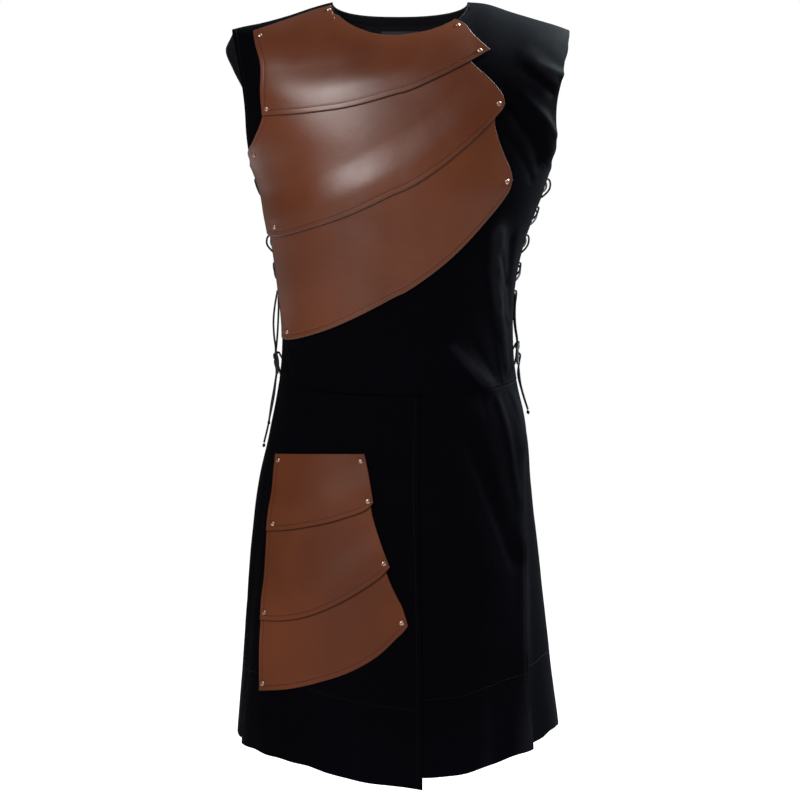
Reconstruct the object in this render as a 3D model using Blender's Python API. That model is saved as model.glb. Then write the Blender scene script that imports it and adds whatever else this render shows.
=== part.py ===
"""A knee-length tunic vest with leather plates, laced at the sides, worn and hollow.

Metres, +Z up. The front faces -Y and the wearer's left is +X. The origin lies between the
shoulders, level with the neck ends of the two shoulder seams.

Every cloth point is ring(around, height): around is the angle from centre front, positive
towards the wearer's left, and height is the drop below the origin (negative). What lies on
a panel takes the panel's own point and moves out along the cloth's normal.
"""

from collections import namedtuple
from math import pi, radians

import bmesh
import bpy
import numpy as np
from mathutils import Matrix, Vector

# Driving sizes
CLOTH = 0.0020
LEATHER = 0.0020
SEAM_GAP = 0.0003
LAYER_GAP = 0.0009
SQUARENESS = 2.3
GIRTH_RADIUS = 0.14

NECK_HALF = 0.0875
NECK_DROP_FRONT = 0.060
NECK_DROP_BACK = 0.012
NECK_SHARE = 0.30
ROLL_AT_NECK = 0.150
ROLL_AT_TIP = 0.080
ROLL_SHARE = 0.38
RIDGE_AT_NECK = 1.45
RIDGE_AT_TIP = 2.0
UNDERARM = -0.222

WAIST_SIDE = -0.490
WAIST_DIP_FRONT = 0.022
WAIST_DIP_BACK = 0.006

LACE_RADIUS = 0.0013
LACE_GAP_HALF = 0.009
EYELET_FROM_SIDE = 0.020
EYELET_RADIUS = 0.0022
EYELET_TOP = -0.232
EYELET_STEP = 0.036
EYELET_PAIRS = 5

PLATE_OVERLAP = 0.018
PLATE_FOOT, PLATE_LEVEL, PLATE_HALFWAY, PLATE_REST = 0.010, 0.020, 0.038, 0.060
NEAR_SHARE = 0.7
PLATE_MARGIN = 0.0015
PLATE_FROM_SIDE = 0.027
NECK_RIM, NECK_RIM_LEFT = 0.0040, 0.0003
SHOULDER_RIM, SHOULDER_RIM_TIP = 0.0130, 0.0185
RIM_TURN = 0.076
RIVET_RADIUS = 0.0034
RIVET_HEIGHT = 0.0021

SKIRT_TUCK = 0.0054
HIDDEN_EDGE = -0.075
LACE_CLEAR = 0.0010
LACE_CROSSING = 0.0012
LACE_MIDDLE = 0.0002
LACE_BEND = 0.0045
LACE_DIP = 0.0006
LACE_SETTLE = 0.0050
LACE_SAG = 0.0020
SLACK_PAST_EDGE = 0.35
BOW_KNOT = (0.0042, 0.0044, 0.0044)
KNOT_NEAR = 0.00475
KNOT_FAR = 0.0090
STRAND_AT = 65
LOOP_AT, LOOP_BACK_AT = 22, -20
TAIL_AT = -65
END_KNOT = (0.0026, 0.0026, 0.0026)
END_KNOT_DROP = 0.0029
LABEL_HALF = 0.025
LABEL_TOP = -0.026
LABEL_TALL = 0.020
LABEL_THICK = 0.0005

# How finely the panels are divided: columns across and rows down
Fineness = namedtuple("Fineness", "name neck side low roll")
BODICE_FINENESS = (
    Fineness("front", neck=12, side=8, low=12, roll=11),
    Fineness("back", neck=10, side=7, low=8, roll=8),
)
OVER_COLUMNS, OVER_ROWS = 14, 11
UNDER_COLUMNS, UNDER_ROWS = 15, 11
BACK_COLUMNS, BACK_ROWS = 40, 10
CHEST_COLUMNS, CHEST_ROWS = 18, (8, 5, 4)
THIGH_COLUMNS, THIGH_ROWS = 9, (3, 3, 3)
LOOP_STEP, TAIL_STEP = 0.007, 0.009

# The worn cloth's outline at each height: half widths to the wearer's right and left,
# depths to the front and the back.
Section = namedtuple("Section", "height right left front back")
SECTIONS = (
    Section(-1.000, 0.2185, 0.2155, 0.151, 0.147),
    Section(-0.940, 0.2160, 0.2110, 0.147, 0.143),
    Section(-0.870, 0.2100, 0.2020, 0.141, 0.138),
    Section(-0.800, 0.2055, 0.1945, 0.136, 0.133),
    Section(-0.710, 0.1970, 0.1845, 0.128, 0.127),
    Section(-0.620, 0.1845, 0.1745, 0.120, 0.119),
    Section(-0.555, 0.1690, 0.1690, 0.113, 0.109),
    Section(-0.490, 0.1565, 0.1515, 0.108, 0.097),
    Section(-0.430, 0.1525, 0.1465, 0.110, 0.093),
    Section(-0.370, 0.1580, 0.1495, 0.115, 0.096),
    Section(-0.310, 0.1665, 0.1620, 0.121, 0.104),
    Section(-0.250, 0.1800, 0.1850, 0.126, 0.113),
    Section(-0.222, 0.1900, 0.1945, 0.126, 0.116),
    Section(-0.190, 0.2065, 0.2080, 0.126, 0.119),
    Section(-0.120, 0.2280, 0.2290, 0.123, 0.118),
    Section(-0.060, 0.2400, 0.2400, 0.120, 0.114),
    Section(0.020, 0.2400, 0.2400, 0.120, 0.112),
)

# Height of the shoulder seam at each distance out from the centre.
Shoulder = namedtuple("Shoulder", "out right left")
SHOULDERS = (
    Shoulder(0.000, 0.000, 0.000),
    Shoulder(0.0875, 0.000, 0.000),
    Shoulder(0.110, -0.006, -0.002),
    Shoulder(0.145, -0.018, -0.0135),
    Shoulder(0.180, -0.028, -0.0245),
    Shoulder(0.205, -0.033, -0.032),
    Shoulder(0.240, -0.042, -0.045),
)

# How far out the armhole's edge lies at each height, on each panel and side.
Armhole = namedtuple("Armhole", "height front_right front_left back_right back_left")
ARMHOLES = (
    Armhole(-0.228, 0.2050, 0.2050, 0.2050, 0.2050),
    Armhole(-0.214, 0.1908, 0.1950, 0.1906, 0.1948),
    Armhole(-0.200, 0.1935, 0.1970, 0.1930, 0.1966),
    Armhole(-0.180, 0.1955, 0.1982, 0.1948, 0.1982),
    Armhole(-0.140, 0.1980, 0.1992, 0.1990, 0.2000),
    Armhole(-0.105, 0.2030, 0.2065, 0.2090, 0.2090),
    Armhole(-0.080, 0.2080, 0.2110, 0.2215, 0.2150),
    Armhole(-0.056, 0.2135, 0.2165, 0.2295, 0.2220),
    Armhole(-0.036, 0.2180, 0.2200, 0.2180, 0.2200),
)

# Where the skirt panels end: the top layer's front edge, the lower layer's side edge, and
# the back panel's two edges, which tuck in under the front panels (degrees around).
SkirtEdge = namedtuple("SkirtEdge", "height over_front over_side under_side back_left back_right")
SKIRT_EDGES = (
    SkirtEdge(-1.000, 0.0275, -67, 48.5, 38, 310),
    SkirtEdge(-0.870, 0.0270, -70, 49.5, 39, 306),
    SkirtEdge(-0.720, 0.0245, -75, 56.0, 43, 300),
    SkirtEdge(-0.630, 0.0225, -79, 62.0, 50, 295),
    SkirtEdge(-0.550, 0.0240, -83, 71.0, 64, 286),
    SkirtEdge(-0.490, 0.0255, -85, 83.0, 88, 272),
)

# Hem heights at each angle round the body, in degrees.
Hem = namedtuple("Hem", "around over under back")
HEMS = (
    Hem(-80, -0.952, -0.984, -0.948),
    Hem(-50, -0.956, -0.950, -0.952),
    Hem(-30, -0.967, -0.956, -0.955),
    Hem(-10, -0.982, -0.973, -0.955),
    Hem(12, -0.996, -0.978, -0.955),
    Hem(30, -0.996, -0.964, -0.953),
    Hem(50, -0.996, -0.950, -0.945),
    Hem(70, -0.996, -0.942, -0.935),
    Hem(95, -0.996, -0.950, -0.936),
    Hem(140, -0.996, -0.954, -0.950),
    Hem(180, -0.996, -0.954, -0.956),
    Hem(220, -0.996, -0.954, -0.951),
    Hem(270, -0.996, -0.954, -0.944),
    Hem(310, -0.996, -0.954, -0.950),
)

# The largest folds: soft ridges (rise > 0) and troughs (rise < 0) from one point to another,
# growing or fading from rise to to_rise.
Fold = namedtuple("Fold", "around height to_around to_height width rise to_rise")
FOLDS = (
    Fold(47, -0.310, 62, -0.470, 0.014, 0.0055, 0.0040),
    Fold(60, -0.315, 72, -0.400, 0.010, -0.0035, -0.0020),
    Fold(37, -0.150, 63, -0.215, 0.011, -0.0030, -0.0045),
    Fold(52, -0.165, 70, -0.200, 0.012, 0.0025, 0.0035),
    Fold(40, -0.085, 54, -0.112, 0.011, 0.0020, 0.0030),
    Fold(24, -0.450, 44, -0.497, 0.012, 0.0020, 0.0035),
    Fold(66, -0.520, 44, -0.960, 0.014, 0.0030, 0.0050),
    Fold(26, -0.565, 47, -0.715, 0.013, -0.0030, -0.0045),
    Fold(180, -0.230, 180, -0.520, 0.030, -0.0040, -0.0060),
    Fold(152, -0.470, 122, -0.330, 0.014, -0.0040, -0.0025),
    Fold(209, -0.460, 236, -0.350, 0.016, -0.0045, -0.0025),
    Fold(130, -0.130, 112, -0.210, 0.013, -0.0025, -0.0035),
    Fold(231, -0.120, 246, -0.200, 0.012, -0.0020, -0.0030),
    Fold(112, -0.560, 108, -0.960, 0.026, 0.0020, 0.0080),
    Fold(125, -0.600, 126, -0.960, 0.022, -0.0005, -0.0060),
    Fold(138, -0.540, 143, -0.960, 0.024, 0.0020, 0.0090),
    Fold(158, -0.620, 156, -0.960, 0.024, -0.0005, -0.0070),
    Fold(174, -0.560, 170, -0.960, 0.026, 0.0020, 0.0100),
    Fold(188, -0.580, 187, -0.960, 0.022, -0.0005, -0.0055),
    Fold(205, -0.530, 204, -0.960, 0.024, 0.0020, 0.0075),
    Fold(219, -0.620, 222, -0.960, 0.024, -0.0005, -0.0070),
    Fold(237, -0.570, 241, -0.960, 0.027, 0.0020, 0.0095),
)

# Plate outlines as seen from the front, in millimetres: across from the centre and down from
# the origin, from the wearer's right to left or from top to bottom. A point past the cloth's
# edge is drawn in to the edge. Rivets are shares of the plate's width and height.
Plate = namedtuple("Plate", "name left right lower rivets")
CHEST_PLATES = (
    Plate(
        "chest_plate_1",
        left=((-187, -51), (-182, -71), (-176, -91), (-173, -130), (-170, -161)),
        right=((69, 0), (77, -41), (92, -62), (112, -82)),
        lower=((-170, -161), (-116, -162), (-61, -156), (0, -140), (41, -123), (82, -101),
               (112, -82)),
        rivets=((0.030, 0.098), (0.369, 0.050), (0.972, 0.145), (0.958, 0.905), (0.035, 0.930)),
    ),
    Plate(
        "chest_plate_2",
        left=((-170, -143), (-171, -160), (-184, -189), (-230, -202), (-230, -215),
              (-230, -240), (-230, -270), (-230, -303)),
        right=((82, -83), (89, -98), (107, -116), (119, -129), (126, -139), (128.5, -148)),
        lower=((-230, -303), (-158, -308), (-109, -303), (-55, -286), (0, -261), (44, -235),
               (88, -197), (115, -169), (125, -157), (128.5, -148)),
        rivets=((0.060, 0.448), (0.966, 0.885), (0.112, 0.938)),
    ),
    Plate(
        "chest_plate_3",
        left=((-230, -285), (-230, -330), (-230, -380), (-230, -437)),
        right=((115, -150), (117, -174), (122, -194), (130, -214), (137, -230), (139.5, -242)),
        lower=((-230, -437), (-144, -440), (-120, -438), (-83, -427), (-29, -402), (25, -372),
               (77, -328), (111, -289), (128, -267), (136, -254), (139.5, -242)),
        rivets=((0.962, 0.885), (0.078, 0.930)),
    ),
)
THIGH_PLATES = (
    Plate(
        "thigh_plate_1",
        left=((-156, -585), (-160, -632), (-165, -682)),
        right=((-43, -584), (-38, -608), (-32, -644)),
        lower=((-165, -682), (-150, -681), (-117, -676), (-69, -664), (-37, -650), (-32, -644)),
        rivets=((0.074, 0.085), (0.955, 0.140), (0.945, 0.880), (0.090, 0.905)),
    ),
    Plate(
        "thigh_plate_2",
        left=((-165, -664), (-169, -735), (-172, -793)),
        right=((-37, -632), (-34, -656), (-24, -690), (-12, -723)),
        lower=((-172, -793), (-149, -792), (-117, -786), (-84, -773), (-47, -752), (-21, -733),
               (-12, -723)),
        rivets=((0.965, 0.895), (0.046, 0.922)),
    ),
    Plate(
        "thigh_plate_3",
        left=((-172, -775), (-175, -827), (-175, -881)),
        right=((-21, -715), (-13, -738), (0, -765), (10, -794)),
        lower=((-175, -881), (-133, -874), (-100, -865), (-59, -850), (-27, -831), (0, -806),
               (10, -794)),
        rivets=((0.962, 0.880), (0.035, 0.912)),
    ),
)

# Free stretches of each side's lace past the knot, as points (forward of the side line or
# behind it, height from the knot, lift off the cloth) in millimetres. A cord leaves the knot
# at its own angle in degrees, 0 straight forward and -90 straight down.
BOW_LOOP = ((15, 5, 7), (25, 2.5, 8), (33, -6.5, 7), (34, -17.5, 6), (27, -23.5, 5),
            (17, -15.5, 5))
SHORT_TAIL = ((8, -18, 5), (15, -33, 4.5), (20, -51, 4), (22, -69, 4), (21, -84, 4))
LONG_TAIL = ((4, -18, 6), (7, -38, 6), (8, -62, 6), (6, -88, 4), (5, -114, 4))
MIDDLE_TAIL = ((4, -10, 8), (6, -21, 7), (8, -34, 4), (7, -60, 4), (5, -84, 4))

# Each side's lacing: the knot's height and lift off the cloth, how far each crossing of the
# outer strand and each end on its way to the knot bulges off the cloth, and its back tail.
Sides = namedtuple("Sides", "name sign knot_height knot_lift crossings to_knot back_tail")
SIDES = (
    Sides("right", -1, -0.460, 0.0085, (0, 0, 0.0045, 0.001), (0.0055, 0.001), LONG_TAIL),
    Sides("left", 1, -0.447, 0.0055, (0.004, 0.0015, 0.003, 0.002), (-0.0015, -0.0015),
          MIDDLE_TAIL),
)


def column(table, name):
    return np.array([getattr(row, name) for row in table], dtype=float)


def smooth(knots, values, at):
    """Values on a smooth curve through the knots: cubic steps with the knots' own slopes."""
    slopes = np.gradient(values, knots, axis=0)
    at = np.clip(at, knots[0], knots[-1])
    i = np.clip(np.searchsorted(knots, at) - 1, 0, len(knots) - 2)
    step = knots[i + 1] - knots[i]
    t = (at - knots[i]) / step
    if values.ndim > 1:
        t, step = t[..., None], step[..., None]
    start = (1 + 2 * t) * (1 - t) ** 2 * values[i] + t * (1 - t) ** 2 * step * slopes[i]
    end = t * t * (3 - 2 * t) * values[i + 1] - t * t * (1 - t) * step * slopes[i + 1]
    return start + end


def ease(low, high, value):
    """0 below low, 1 above high, with a soft start and stop between."""
    t = np.clip((value - low) / (high - low), 0, 1)
    return t * t * (3 - 2 * t)


def size_at(name, height):
    return smooth(column(SECTIONS, "height"), column(SECTIONS, name), height)


def half_width(side, height):
    return np.where(side > 0, size_at("left", height), size_at("right", height))


def shoulder_height(across):
    outs = column(SHOULDERS, "out")
    right = smooth(outs, column(SHOULDERS, "right"), np.abs(across))
    left = smooth(outs, column(SHOULDERS, "left"), np.abs(across))
    return np.where(across > 0, left, right)


def relief(around, height):
    """Height of the folds off the plain section, as the sum of rounded ridges and troughs."""
    total = np.zeros(np.broadcast(around, height).shape)
    for fold in FOLDS:
        turn = (around - radians(fold.around) + pi) % (2 * pi) - pi
        along = GIRTH_RADIUS * radians(fold.to_around - fold.around)
        down = fold.to_height - fold.height
        across, drop = GIRTH_RADIUS * turn, height - fold.height
        share = np.clip((across * along + drop * down) / (along**2 + down**2), 0, 1)
        distance = np.hypot(across - share * along, drop - share * down)
        rise = fold.rise + (fold.to_rise - fold.rise) * share
        total += rise * np.exp(-((distance / fold.width) ** 2))
    return total


def ring(around, height):
    """Outer cloth point: a rounded-square section, drawn in over the shoulders like a dome.

    across = half width * sin^(2/n), forward = depth * cos^(2/n), and near the shoulder seam
    the depth shrinks with (1 - (1 - t)^2)^(1/ridge), where t is the drop below the seam: a
    crisp ridge at the neck, rounder at the shoulder's tip.
    """
    around, height = np.broadcast_arrays(np.asarray(around, float), np.asarray(height, float))
    sine, cosine = np.sin(around), np.cos(around)
    half = half_width(sine, height)
    depth = np.where(cosine > 0, size_at("front", height), size_at("back", height))
    x = half * np.sign(sine) * np.abs(sine) ** (2 / SQUARENESS)
    y = depth * np.abs(cosine) ** (2 / SQUARENESS)
    outer = ease(NECK_HALF, SECTIONS[-1].left, np.abs(x))
    reach = ROLL_AT_NECK + (ROLL_AT_TIP - ROLL_AT_NECK) * outer
    below = np.clip((shoulder_height(x) - height) / reach, 0, 1)
    ridge = RIDGE_AT_NECK + (RIDGE_AT_TIP - RIDGE_AT_NECK) * outer
    y = y * (1 - (1 - below) ** 2) ** (1 / ridge)
    slope_x = np.sign(sine) * np.abs(sine) ** (2 - 2 / SQUARENESS) / half
    slope_y = np.abs(cosine) ** (2 - 2 / SQUARENESS) / depth
    rise = relief(around, height) * ease(0, 0.3, below) / np.hypot(slope_x, slope_y)
    y = y + rise * slope_y + SEAM_GAP / 2 * (height > WAIST_SIDE)
    return np.stack([x + rise * slope_x, -np.sign(cosine) * y, height], axis=-1)


def outward(around, height):
    """Unit normal of the cloth, from two short steps along the surface."""
    step = 1e-4
    across = ring(around + step, height) - ring(around - step, height)
    up = ring(around, height) - ring(around, height - step)
    normal = np.cross(across, up)
    return normal / np.linalg.norm(normal, axis=-1, keepdims=True)


def on_cloth(around, height, lift):
    return ring(around, height) + np.asarray(lift)[..., None] * outward(around, height)


def angle_at(across, height):
    """Angle round the front for a distance across, the inverse of ring's x."""
    share = np.clip(np.abs(across) / half_width(across, height), 0, 1)
    return np.sign(across) * np.arcsin(share ** (SQUARENESS / 2))


def lace_angle(height, face):
    depth = size_at(face, height)
    return np.arccos((LACE_GAP_HALF / depth) ** (SQUARENESS / 2))


def edge_angle(side, height, face):
    """Angle of a bodice panel's edge from its own centre: the lacing edge, then the armhole."""
    name = face + ("_left" if side > 0 else "_right")
    out = smooth(column(ARMHOLES, "height"), column(ARMHOLES, name), height)
    armhole = np.abs(angle_at(side * out, height))
    return np.where(height > UNDERARM, np.minimum(armhole, lace_angle(height, face)),
                    lace_angle(height, face))


def waist_height(around):
    cosine = np.cos(around)
    dip = np.where(cosine > 0, WAIST_DIP_FRONT, WAIST_DIP_BACK)
    return WAIST_SIDE - dip * np.abs(cosine) ** 1.5


def top_height(across, drop):
    """Top edge of a bodice panel: half an ellipse at the neck, then the shoulder seam."""
    neck = -drop * np.sqrt(np.clip(1 - (across / NECK_HALF) ** 2, 0, 1))
    return np.where(np.abs(across) < NECK_HALF, neck, shoulder_height(across))


def neck_across(share):
    """Distances across the neck for shares from -1 to 1, evenly spaced along its edge, which
    turns down fast at the neck points: across = half * sqrt(1 - cos^4)."""
    return NECK_HALF * np.sign(share) * np.sqrt(1 - np.cos(pi / 2 * share) ** 4)


def material(name, colour, roughness, metallic=0.0):
    made = bpy.data.materials.new(name)
    made.use_nodes = True
    shader = made.node_tree.nodes["Principled BSDF"]
    shader.inputs["Base Color"].default_value = (*colour, 1.0)
    shader.inputs["Roughness"].default_value = roughness
    shader.inputs["Metallic"].default_value = metallic
    return made


def add_object(name, data, finish):
    made = bpy.data.objects.new(name, data)
    if not data.materials:
        data.materials.append(finish)
    bpy.context.scene.collection.objects.link(made)
    return made


def mesh_from(name, build):
    """A mesh whose geometry a function makes in a bmesh, facing out and shaded smooth."""
    shape = bmesh.new()
    build(shape)
    bmesh.ops.recalc_face_normals(shape, faces=shape.faces)
    mesh = bpy.data.meshes.new(name)
    shape.to_mesh(mesh)
    shape.free()
    mesh.shade_smooth()
    mesh.set_sharp_from_angle(angle=radians(40))
    return mesh


def wall(name, around, height, inside, outside, finish, level=()):
    """A panel of cloth or leather: two grids of points and the strip that joins their edges.

    inside and outside are the lifts of its two faces off the cloth surface. In the rows
    named by level the two faces end at one height, so that a seam can butt against them.
    """
    base = ring(around, height)
    normal = outward(around, height)
    for row in level:
        normal[row, :, 2] = 0
    on_shoulder = (np.abs(base[..., 1]) < SEAM_GAP) & (height > UNDERARM)
    normal[on_shoulder, 1] = 0
    normal /= np.linalg.norm(normal, axis=-1, keepdims=True)
    shape = base.shape[:2]
    faces = [base + np.broadcast_to(lift, shape)[..., None] * normal for lift in (inside, outside)]

    def build(made):
        rows, columns = shape
        inner, outer = [[[made.verts.new(p) for p in row] for row in grid] for grid in faces]
        for grid in (inner, outer):
            for i in range(rows - 1):
                for j in range(columns - 1):
                    made.faces.new((grid[i][j], grid[i][j + 1], grid[i + 1][j + 1], grid[i + 1][j]))
        rim = [(0, j) for j in range(columns)] + [(i, columns - 1) for i in range(1, rows)]
        rim += [(rows - 1, j) for j in range(columns - 2, -1, -1)]
        rim += [(i, 0) for i in range(rows - 2, 0, -1)]
        for (i, j), (k, m) in zip(rim, rim[1:] + rim[:1]):
            made.faces.new((inner[i][j], inner[k][m], outer[k][m], outer[i][j]))

    return add_object(name, mesh_from(name, build), finish)


def bodice_grid(fineness, drop):
    """Angles and heights of a bodice panel, with a column at each neck point."""
    face = fineness.name
    neck = np.linspace(-1, 1, fineness.neck + 1) * NECK_SHARE
    sides = np.linspace(NECK_SHARE, 1, fineness.side + 1)[1:]
    s = np.concatenate([-sides[::-1], neck, sides])
    tip = np.where(s > 0, ARMHOLES[-1].front_left, ARMHOLES[-1].front_right)
    on_neck = neck_across(np.clip(s / NECK_SHARE, -1, 1))
    past = np.clip((np.abs(s) - NECK_SHARE) / (1 - NECK_SHARE), 0, 1)
    across = on_neck + np.sign(s) * (tip - NECK_HALF) * past
    top = top_height(across, drop)
    top_angle = np.abs(angle_at(across, top)) * np.sign(s)
    low = waist_height(s * lace_angle(WAIST_SIDE, face) + (pi if face == "back" else 0))
    rise = np.concatenate([
        np.linspace(0, 1 - ROLL_SHARE, fineness.low + 1),
        1 - ROLL_SHARE * (1 - np.cos(np.linspace(pi / 2, 0, fineness.roll + 1)[1:])),
    ])[:, None]
    height = low + (top - low) * rise
    edge = np.where(s > 0, edge_angle(1, height, face), edge_angle(-1, height, face))
    blend = ease(0.25, 1, rise)
    around = (1 - blend) * edge * s + blend * (top_angle + s * (edge - edge[-1]))
    return around, height


def add_bodice(cloth):
    around, height = bodice_grid(BODICE_FINENESS[0], NECK_DROP_FRONT)
    front = wall("bodice_front", around, height, -CLOTH, 0, cloth, level=[0])
    around, height = bodice_grid(BODICE_FINENESS[1], NECK_DROP_BACK)
    back = wall("bodice_back", pi - around, height, -CLOTH, 0, cloth, level=[0])
    return front, back


def skirt_edge(name, height):
    return smooth(column(SKIRT_EDGES, "height"), column(SKIRT_EDGES, name), height)


def hem_height(name, around):
    return smooth(np.radians(column(HEMS, "around")), column(HEMS, name), around)


def skirt_grid(start, end, hem, columns, rows):
    """Angles and heights of a skirt panel between two edges given as angles at each height."""
    share = np.linspace(0, 1, columns + 1)
    low = start(-0.95) + (end(-0.95) - start(-0.95)) * share
    top = WAIST_SIDE + 0 * share
    for _ in range(4):
        top = waist_height(start(top) + (end(top) - start(top)) * share) - SEAM_GAP
    down = np.linspace(0, 1, rows + 1)[:, None]
    height = top + (hem_height(hem, low) - top) * down
    return start(height) + (end(height) - start(height)) * share, height


def over_lift(around, height):
    """The top skirt layer stands off by the lower layer's thickness where they overlap."""
    across = ring(around, height)[..., 0]
    return (CLOTH + LAYER_GAP) * ease(-0.150, -0.070, across)


def tuck(around):
    """The back skirt panel lies one layer in where the front panels cover its edges."""
    from_back = np.abs(around - pi)
    return -SKIRT_TUCK * ease(radians(62), radians(82), from_back)


def add_skirt(cloth):
    def over_side(height):
        return np.radians(skirt_edge("over_side", height))

    def over_front(height):
        return angle_at(skirt_edge("over_front", height), height)

    def under_hidden(height):
        return angle_at(HIDDEN_EDGE + 0 * height, height)

    def under_side(height):
        return np.radians(skirt_edge("under_side", height))

    def back_left(height):
        return np.radians(skirt_edge("back_left", height))

    def back_right(height):
        return np.radians(skirt_edge("back_right", height))

    around, height = skirt_grid(over_side, over_front, "over", OVER_COLUMNS, OVER_ROWS)
    lift = over_lift(around, height)
    wall("skirt_over", around, height, lift - CLOTH, lift, cloth, level=[0])
    around, height = skirt_grid(under_hidden, under_side, "under", UNDER_COLUMNS, UNDER_ROWS)
    wall("skirt_under", around, height, -CLOTH, 0, cloth, level=[0])
    around, height = skirt_grid(back_left, back_right, "back", BACK_COLUMNS, BACK_ROWS)
    lift = tuck(around)
    wall("skirt_back", around, height, lift - CLOTH, lift, cloth, level=[0])


def curve(points):
    """A smooth curve through points, read at shares of its length between 0 and 1."""
    points = np.array(points, dtype=float)
    steps = np.hypot(GIRTH_RADIUS * np.diff(points[:, 0]), np.diff(points[:, 1]))
    knots = np.concatenate([[0], np.cumsum(steps)])
    return lambda share: smooth(knots / knots[-1], points, np.asarray(share))


def inside_edge(around, height):
    """Keeps leather inside the armhole's edge, and forward of the lace holes."""
    armhole = edge_angle(-1, height, "front") - PLATE_MARGIN / GIRTH_RADIUS
    depth = size_at("front", height)
    holes = np.arccos((PLATE_FROM_SIDE / depth) ** (SQUARENESS / 2))
    return np.maximum(around, -np.minimum(armhole, holes))


def outline(points, chest):
    """Plate outline points, from millimetres seen from the front to angles and heights."""
    across, height = np.array(points).T / 1000
    around = angle_at(across, height)
    if chest:
        around = inside_edge(around, height)
    return np.stack([around, height], axis=1)


def upper_edge(plates, index):
    """The top plate follows the neck and shoulder; the others run up under the one above."""
    plate = plates[index]
    if index:
        hidden = [(x, z + PLATE_OVERLAP * 1000) for x, z in plates[index - 1].lower[:-1]]
        return curve(outline(hidden, plates is CHEST_PLATES))
    start, end = plate.left[0], plate.right[0]
    if plates is THIGH_PLATES:
        return curve(outline((start, end), False))

    def along_neck(share):
        across = (start[0] + (end[0] - start[0]) * share) / 1000
        to_tip = (np.abs(across) - NECK_HALF) / (abs(start[0]) / 1000 - NECK_HALF)
        on_shoulder = SHOULDER_RIM + (SHOULDER_RIM_TIP - SHOULDER_RIM) * np.clip(to_tip, 0, 1) ** 2
        on_neck = NECK_RIM + (NECK_RIM_LEFT - NECK_RIM) * ease(-0.040, 0.030, across)
        rim = on_neck + (on_shoulder - on_neck) * ease(RIM_TURN, NECK_HALF, np.abs(across))
        height = top_height(across, NECK_DROP_FRONT) - rim
        return np.stack([angle_at(across, height), height], axis=-1)

    return along_neck


def plate_patch(plates, index, u, v):
    """Point of a plate's outline patch: the sum of the ruled surfaces between its opposite
    edges, less the corners' own blend."""
    chest = plates is CHEST_PLATES
    plate = plates[index]
    upper = upper_edge(plates, index)
    lower = curve(outline(plate.lower, chest))
    ends = upper(np.array([0.0, 1.0]))
    left_points, right_points = outline(plate.left, chest), outline(plate.right, chest)
    left_points[0], right_points[0] = ends
    left, right = curve(left_points), curve(right_points)
    corner = [c[None, None] for c in (ends[0], ends[1], left_points[-1], right_points[-1])]
    a, b = u[..., None], v[..., None]
    ruled = (1 - b) * upper(u) + b * lower(u) + (1 - a) * left(v) + a * right(v)
    corners = (1 - b) * ((1 - a) * corner[0] + a * corner[1])
    corners = corners + b * ((1 - a) * corner[2] + a * corner[3])
    point = ruled - corners
    around, height = point[..., 0], point[..., 1]
    return (inside_edge(around, height) if chest else around), height


def plate_rows(plates, index, u, rows):
    """Shares down a plate, with rows at fixed distances from its lower edge."""
    top = plate_patch(plates, index, u, np.zeros_like(u))
    low = plate_patch(plates, index, u, np.ones_like(u))
    tall = np.hypot(GIRTH_RADIUS * (low[0] - top[0]), low[1] - top[1])
    near = np.array([PLATE_REST, PLATE_HALFWAY, PLATE_LEVEL, PLATE_FOOT, 0.0])[:, None]
    near = near / np.maximum(tall, PLATE_REST / NEAR_SHARE)
    far = np.linspace(1, 0, rows + 1)[:-1, None]
    if plates is CHEST_PLATES and index == 0:
        far = np.sin(pi / 2 * far)
    far = far * (1 - near[0]) + near[0]
    return 1 - np.concatenate([far, near])


def plate_lift(plates, index, u, v):
    """Lift of a plate's inner face: on the panel, and over the next plate along its foot."""
    lift = LAYER_GAP + 0 * u
    if index < len(plates) - 1:
        here = plate_patch(plates, index, u, v)
        low = plate_patch(plates, index, u, np.ones_like(v))
        from_foot = np.hypot(GIRTH_RADIUS * (low[0] - here[0]), low[1] - here[1])
        over = 1 - ease(PLATE_LEVEL, PLATE_REST, from_foot)
        lift = lift + (LEATHER + LAYER_GAP) * over
    if plates is THIGH_PLATES:
        lift = lift + over_lift(*plate_patch(plates, index, u, v))
    return lift


def plate_columns(plates, index, count):
    """Shares across a plate: closer together where the body turns away at the side, and on
    the top plate round the neck point, which has a column of its own."""
    if plates is THIGH_PLATES:
        return np.linspace(0, 1, count + 1)
    if index:
        return np.linspace(0, 1, count + 1) ** 1.3
    start, end = plates[0].left[0][0] / 1000, plates[0].right[0][0] / 1000
    on_shoulder = np.linspace(start, -NECK_HALF, count // 3 + 1)[:-1]
    last = np.arccos((1 - (end / NECK_HALF) ** 2) ** 0.25) * 2 / pi
    across = np.concatenate([on_shoulder, neck_across(np.linspace(-1, last, count - count // 3 + 1))])
    return (across - start) / (end - start)


def rivet_mesh(finish):
    """A low dome turned about Z, standing on its flat foot."""
    profile = ((0.96, 0.0), (1.0, 0.28), (0.72, 0.78))
    turns = 8

    def build(made):
        rings = []
        for out, up in profile:
            angles = [2 * pi * k / turns for k in range(turns)]
            rings.append([
                made.verts.new((RIVET_RADIUS * out * np.cos(a), RIVET_RADIUS * out * np.sin(a),
                                RIVET_HEIGHT * up)) for a in angles])
        crown = made.verts.new((0, 0, RIVET_HEIGHT))
        made.faces.new(rings[0])
        for low, high in zip(rings, rings[1:]):
            for k in range(turns):
                made.faces.new((low[k], low[k - 1], high[k - 1], high[k]))
        for k in range(turns):
            made.faces.new((rings[-1][k], rings[-1][k - 1], crown))

    mesh = mesh_from("rivet_dome", build)
    mesh.materials.append(finish)
    return mesh


def standing_on(point, normal):
    """Places a shape with its Z axis along a normal."""
    turn = Vector(normal).to_track_quat("Z", "Y").to_matrix().to_4x4()
    return Matrix.Translation(Vector(point)) @ turn


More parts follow.
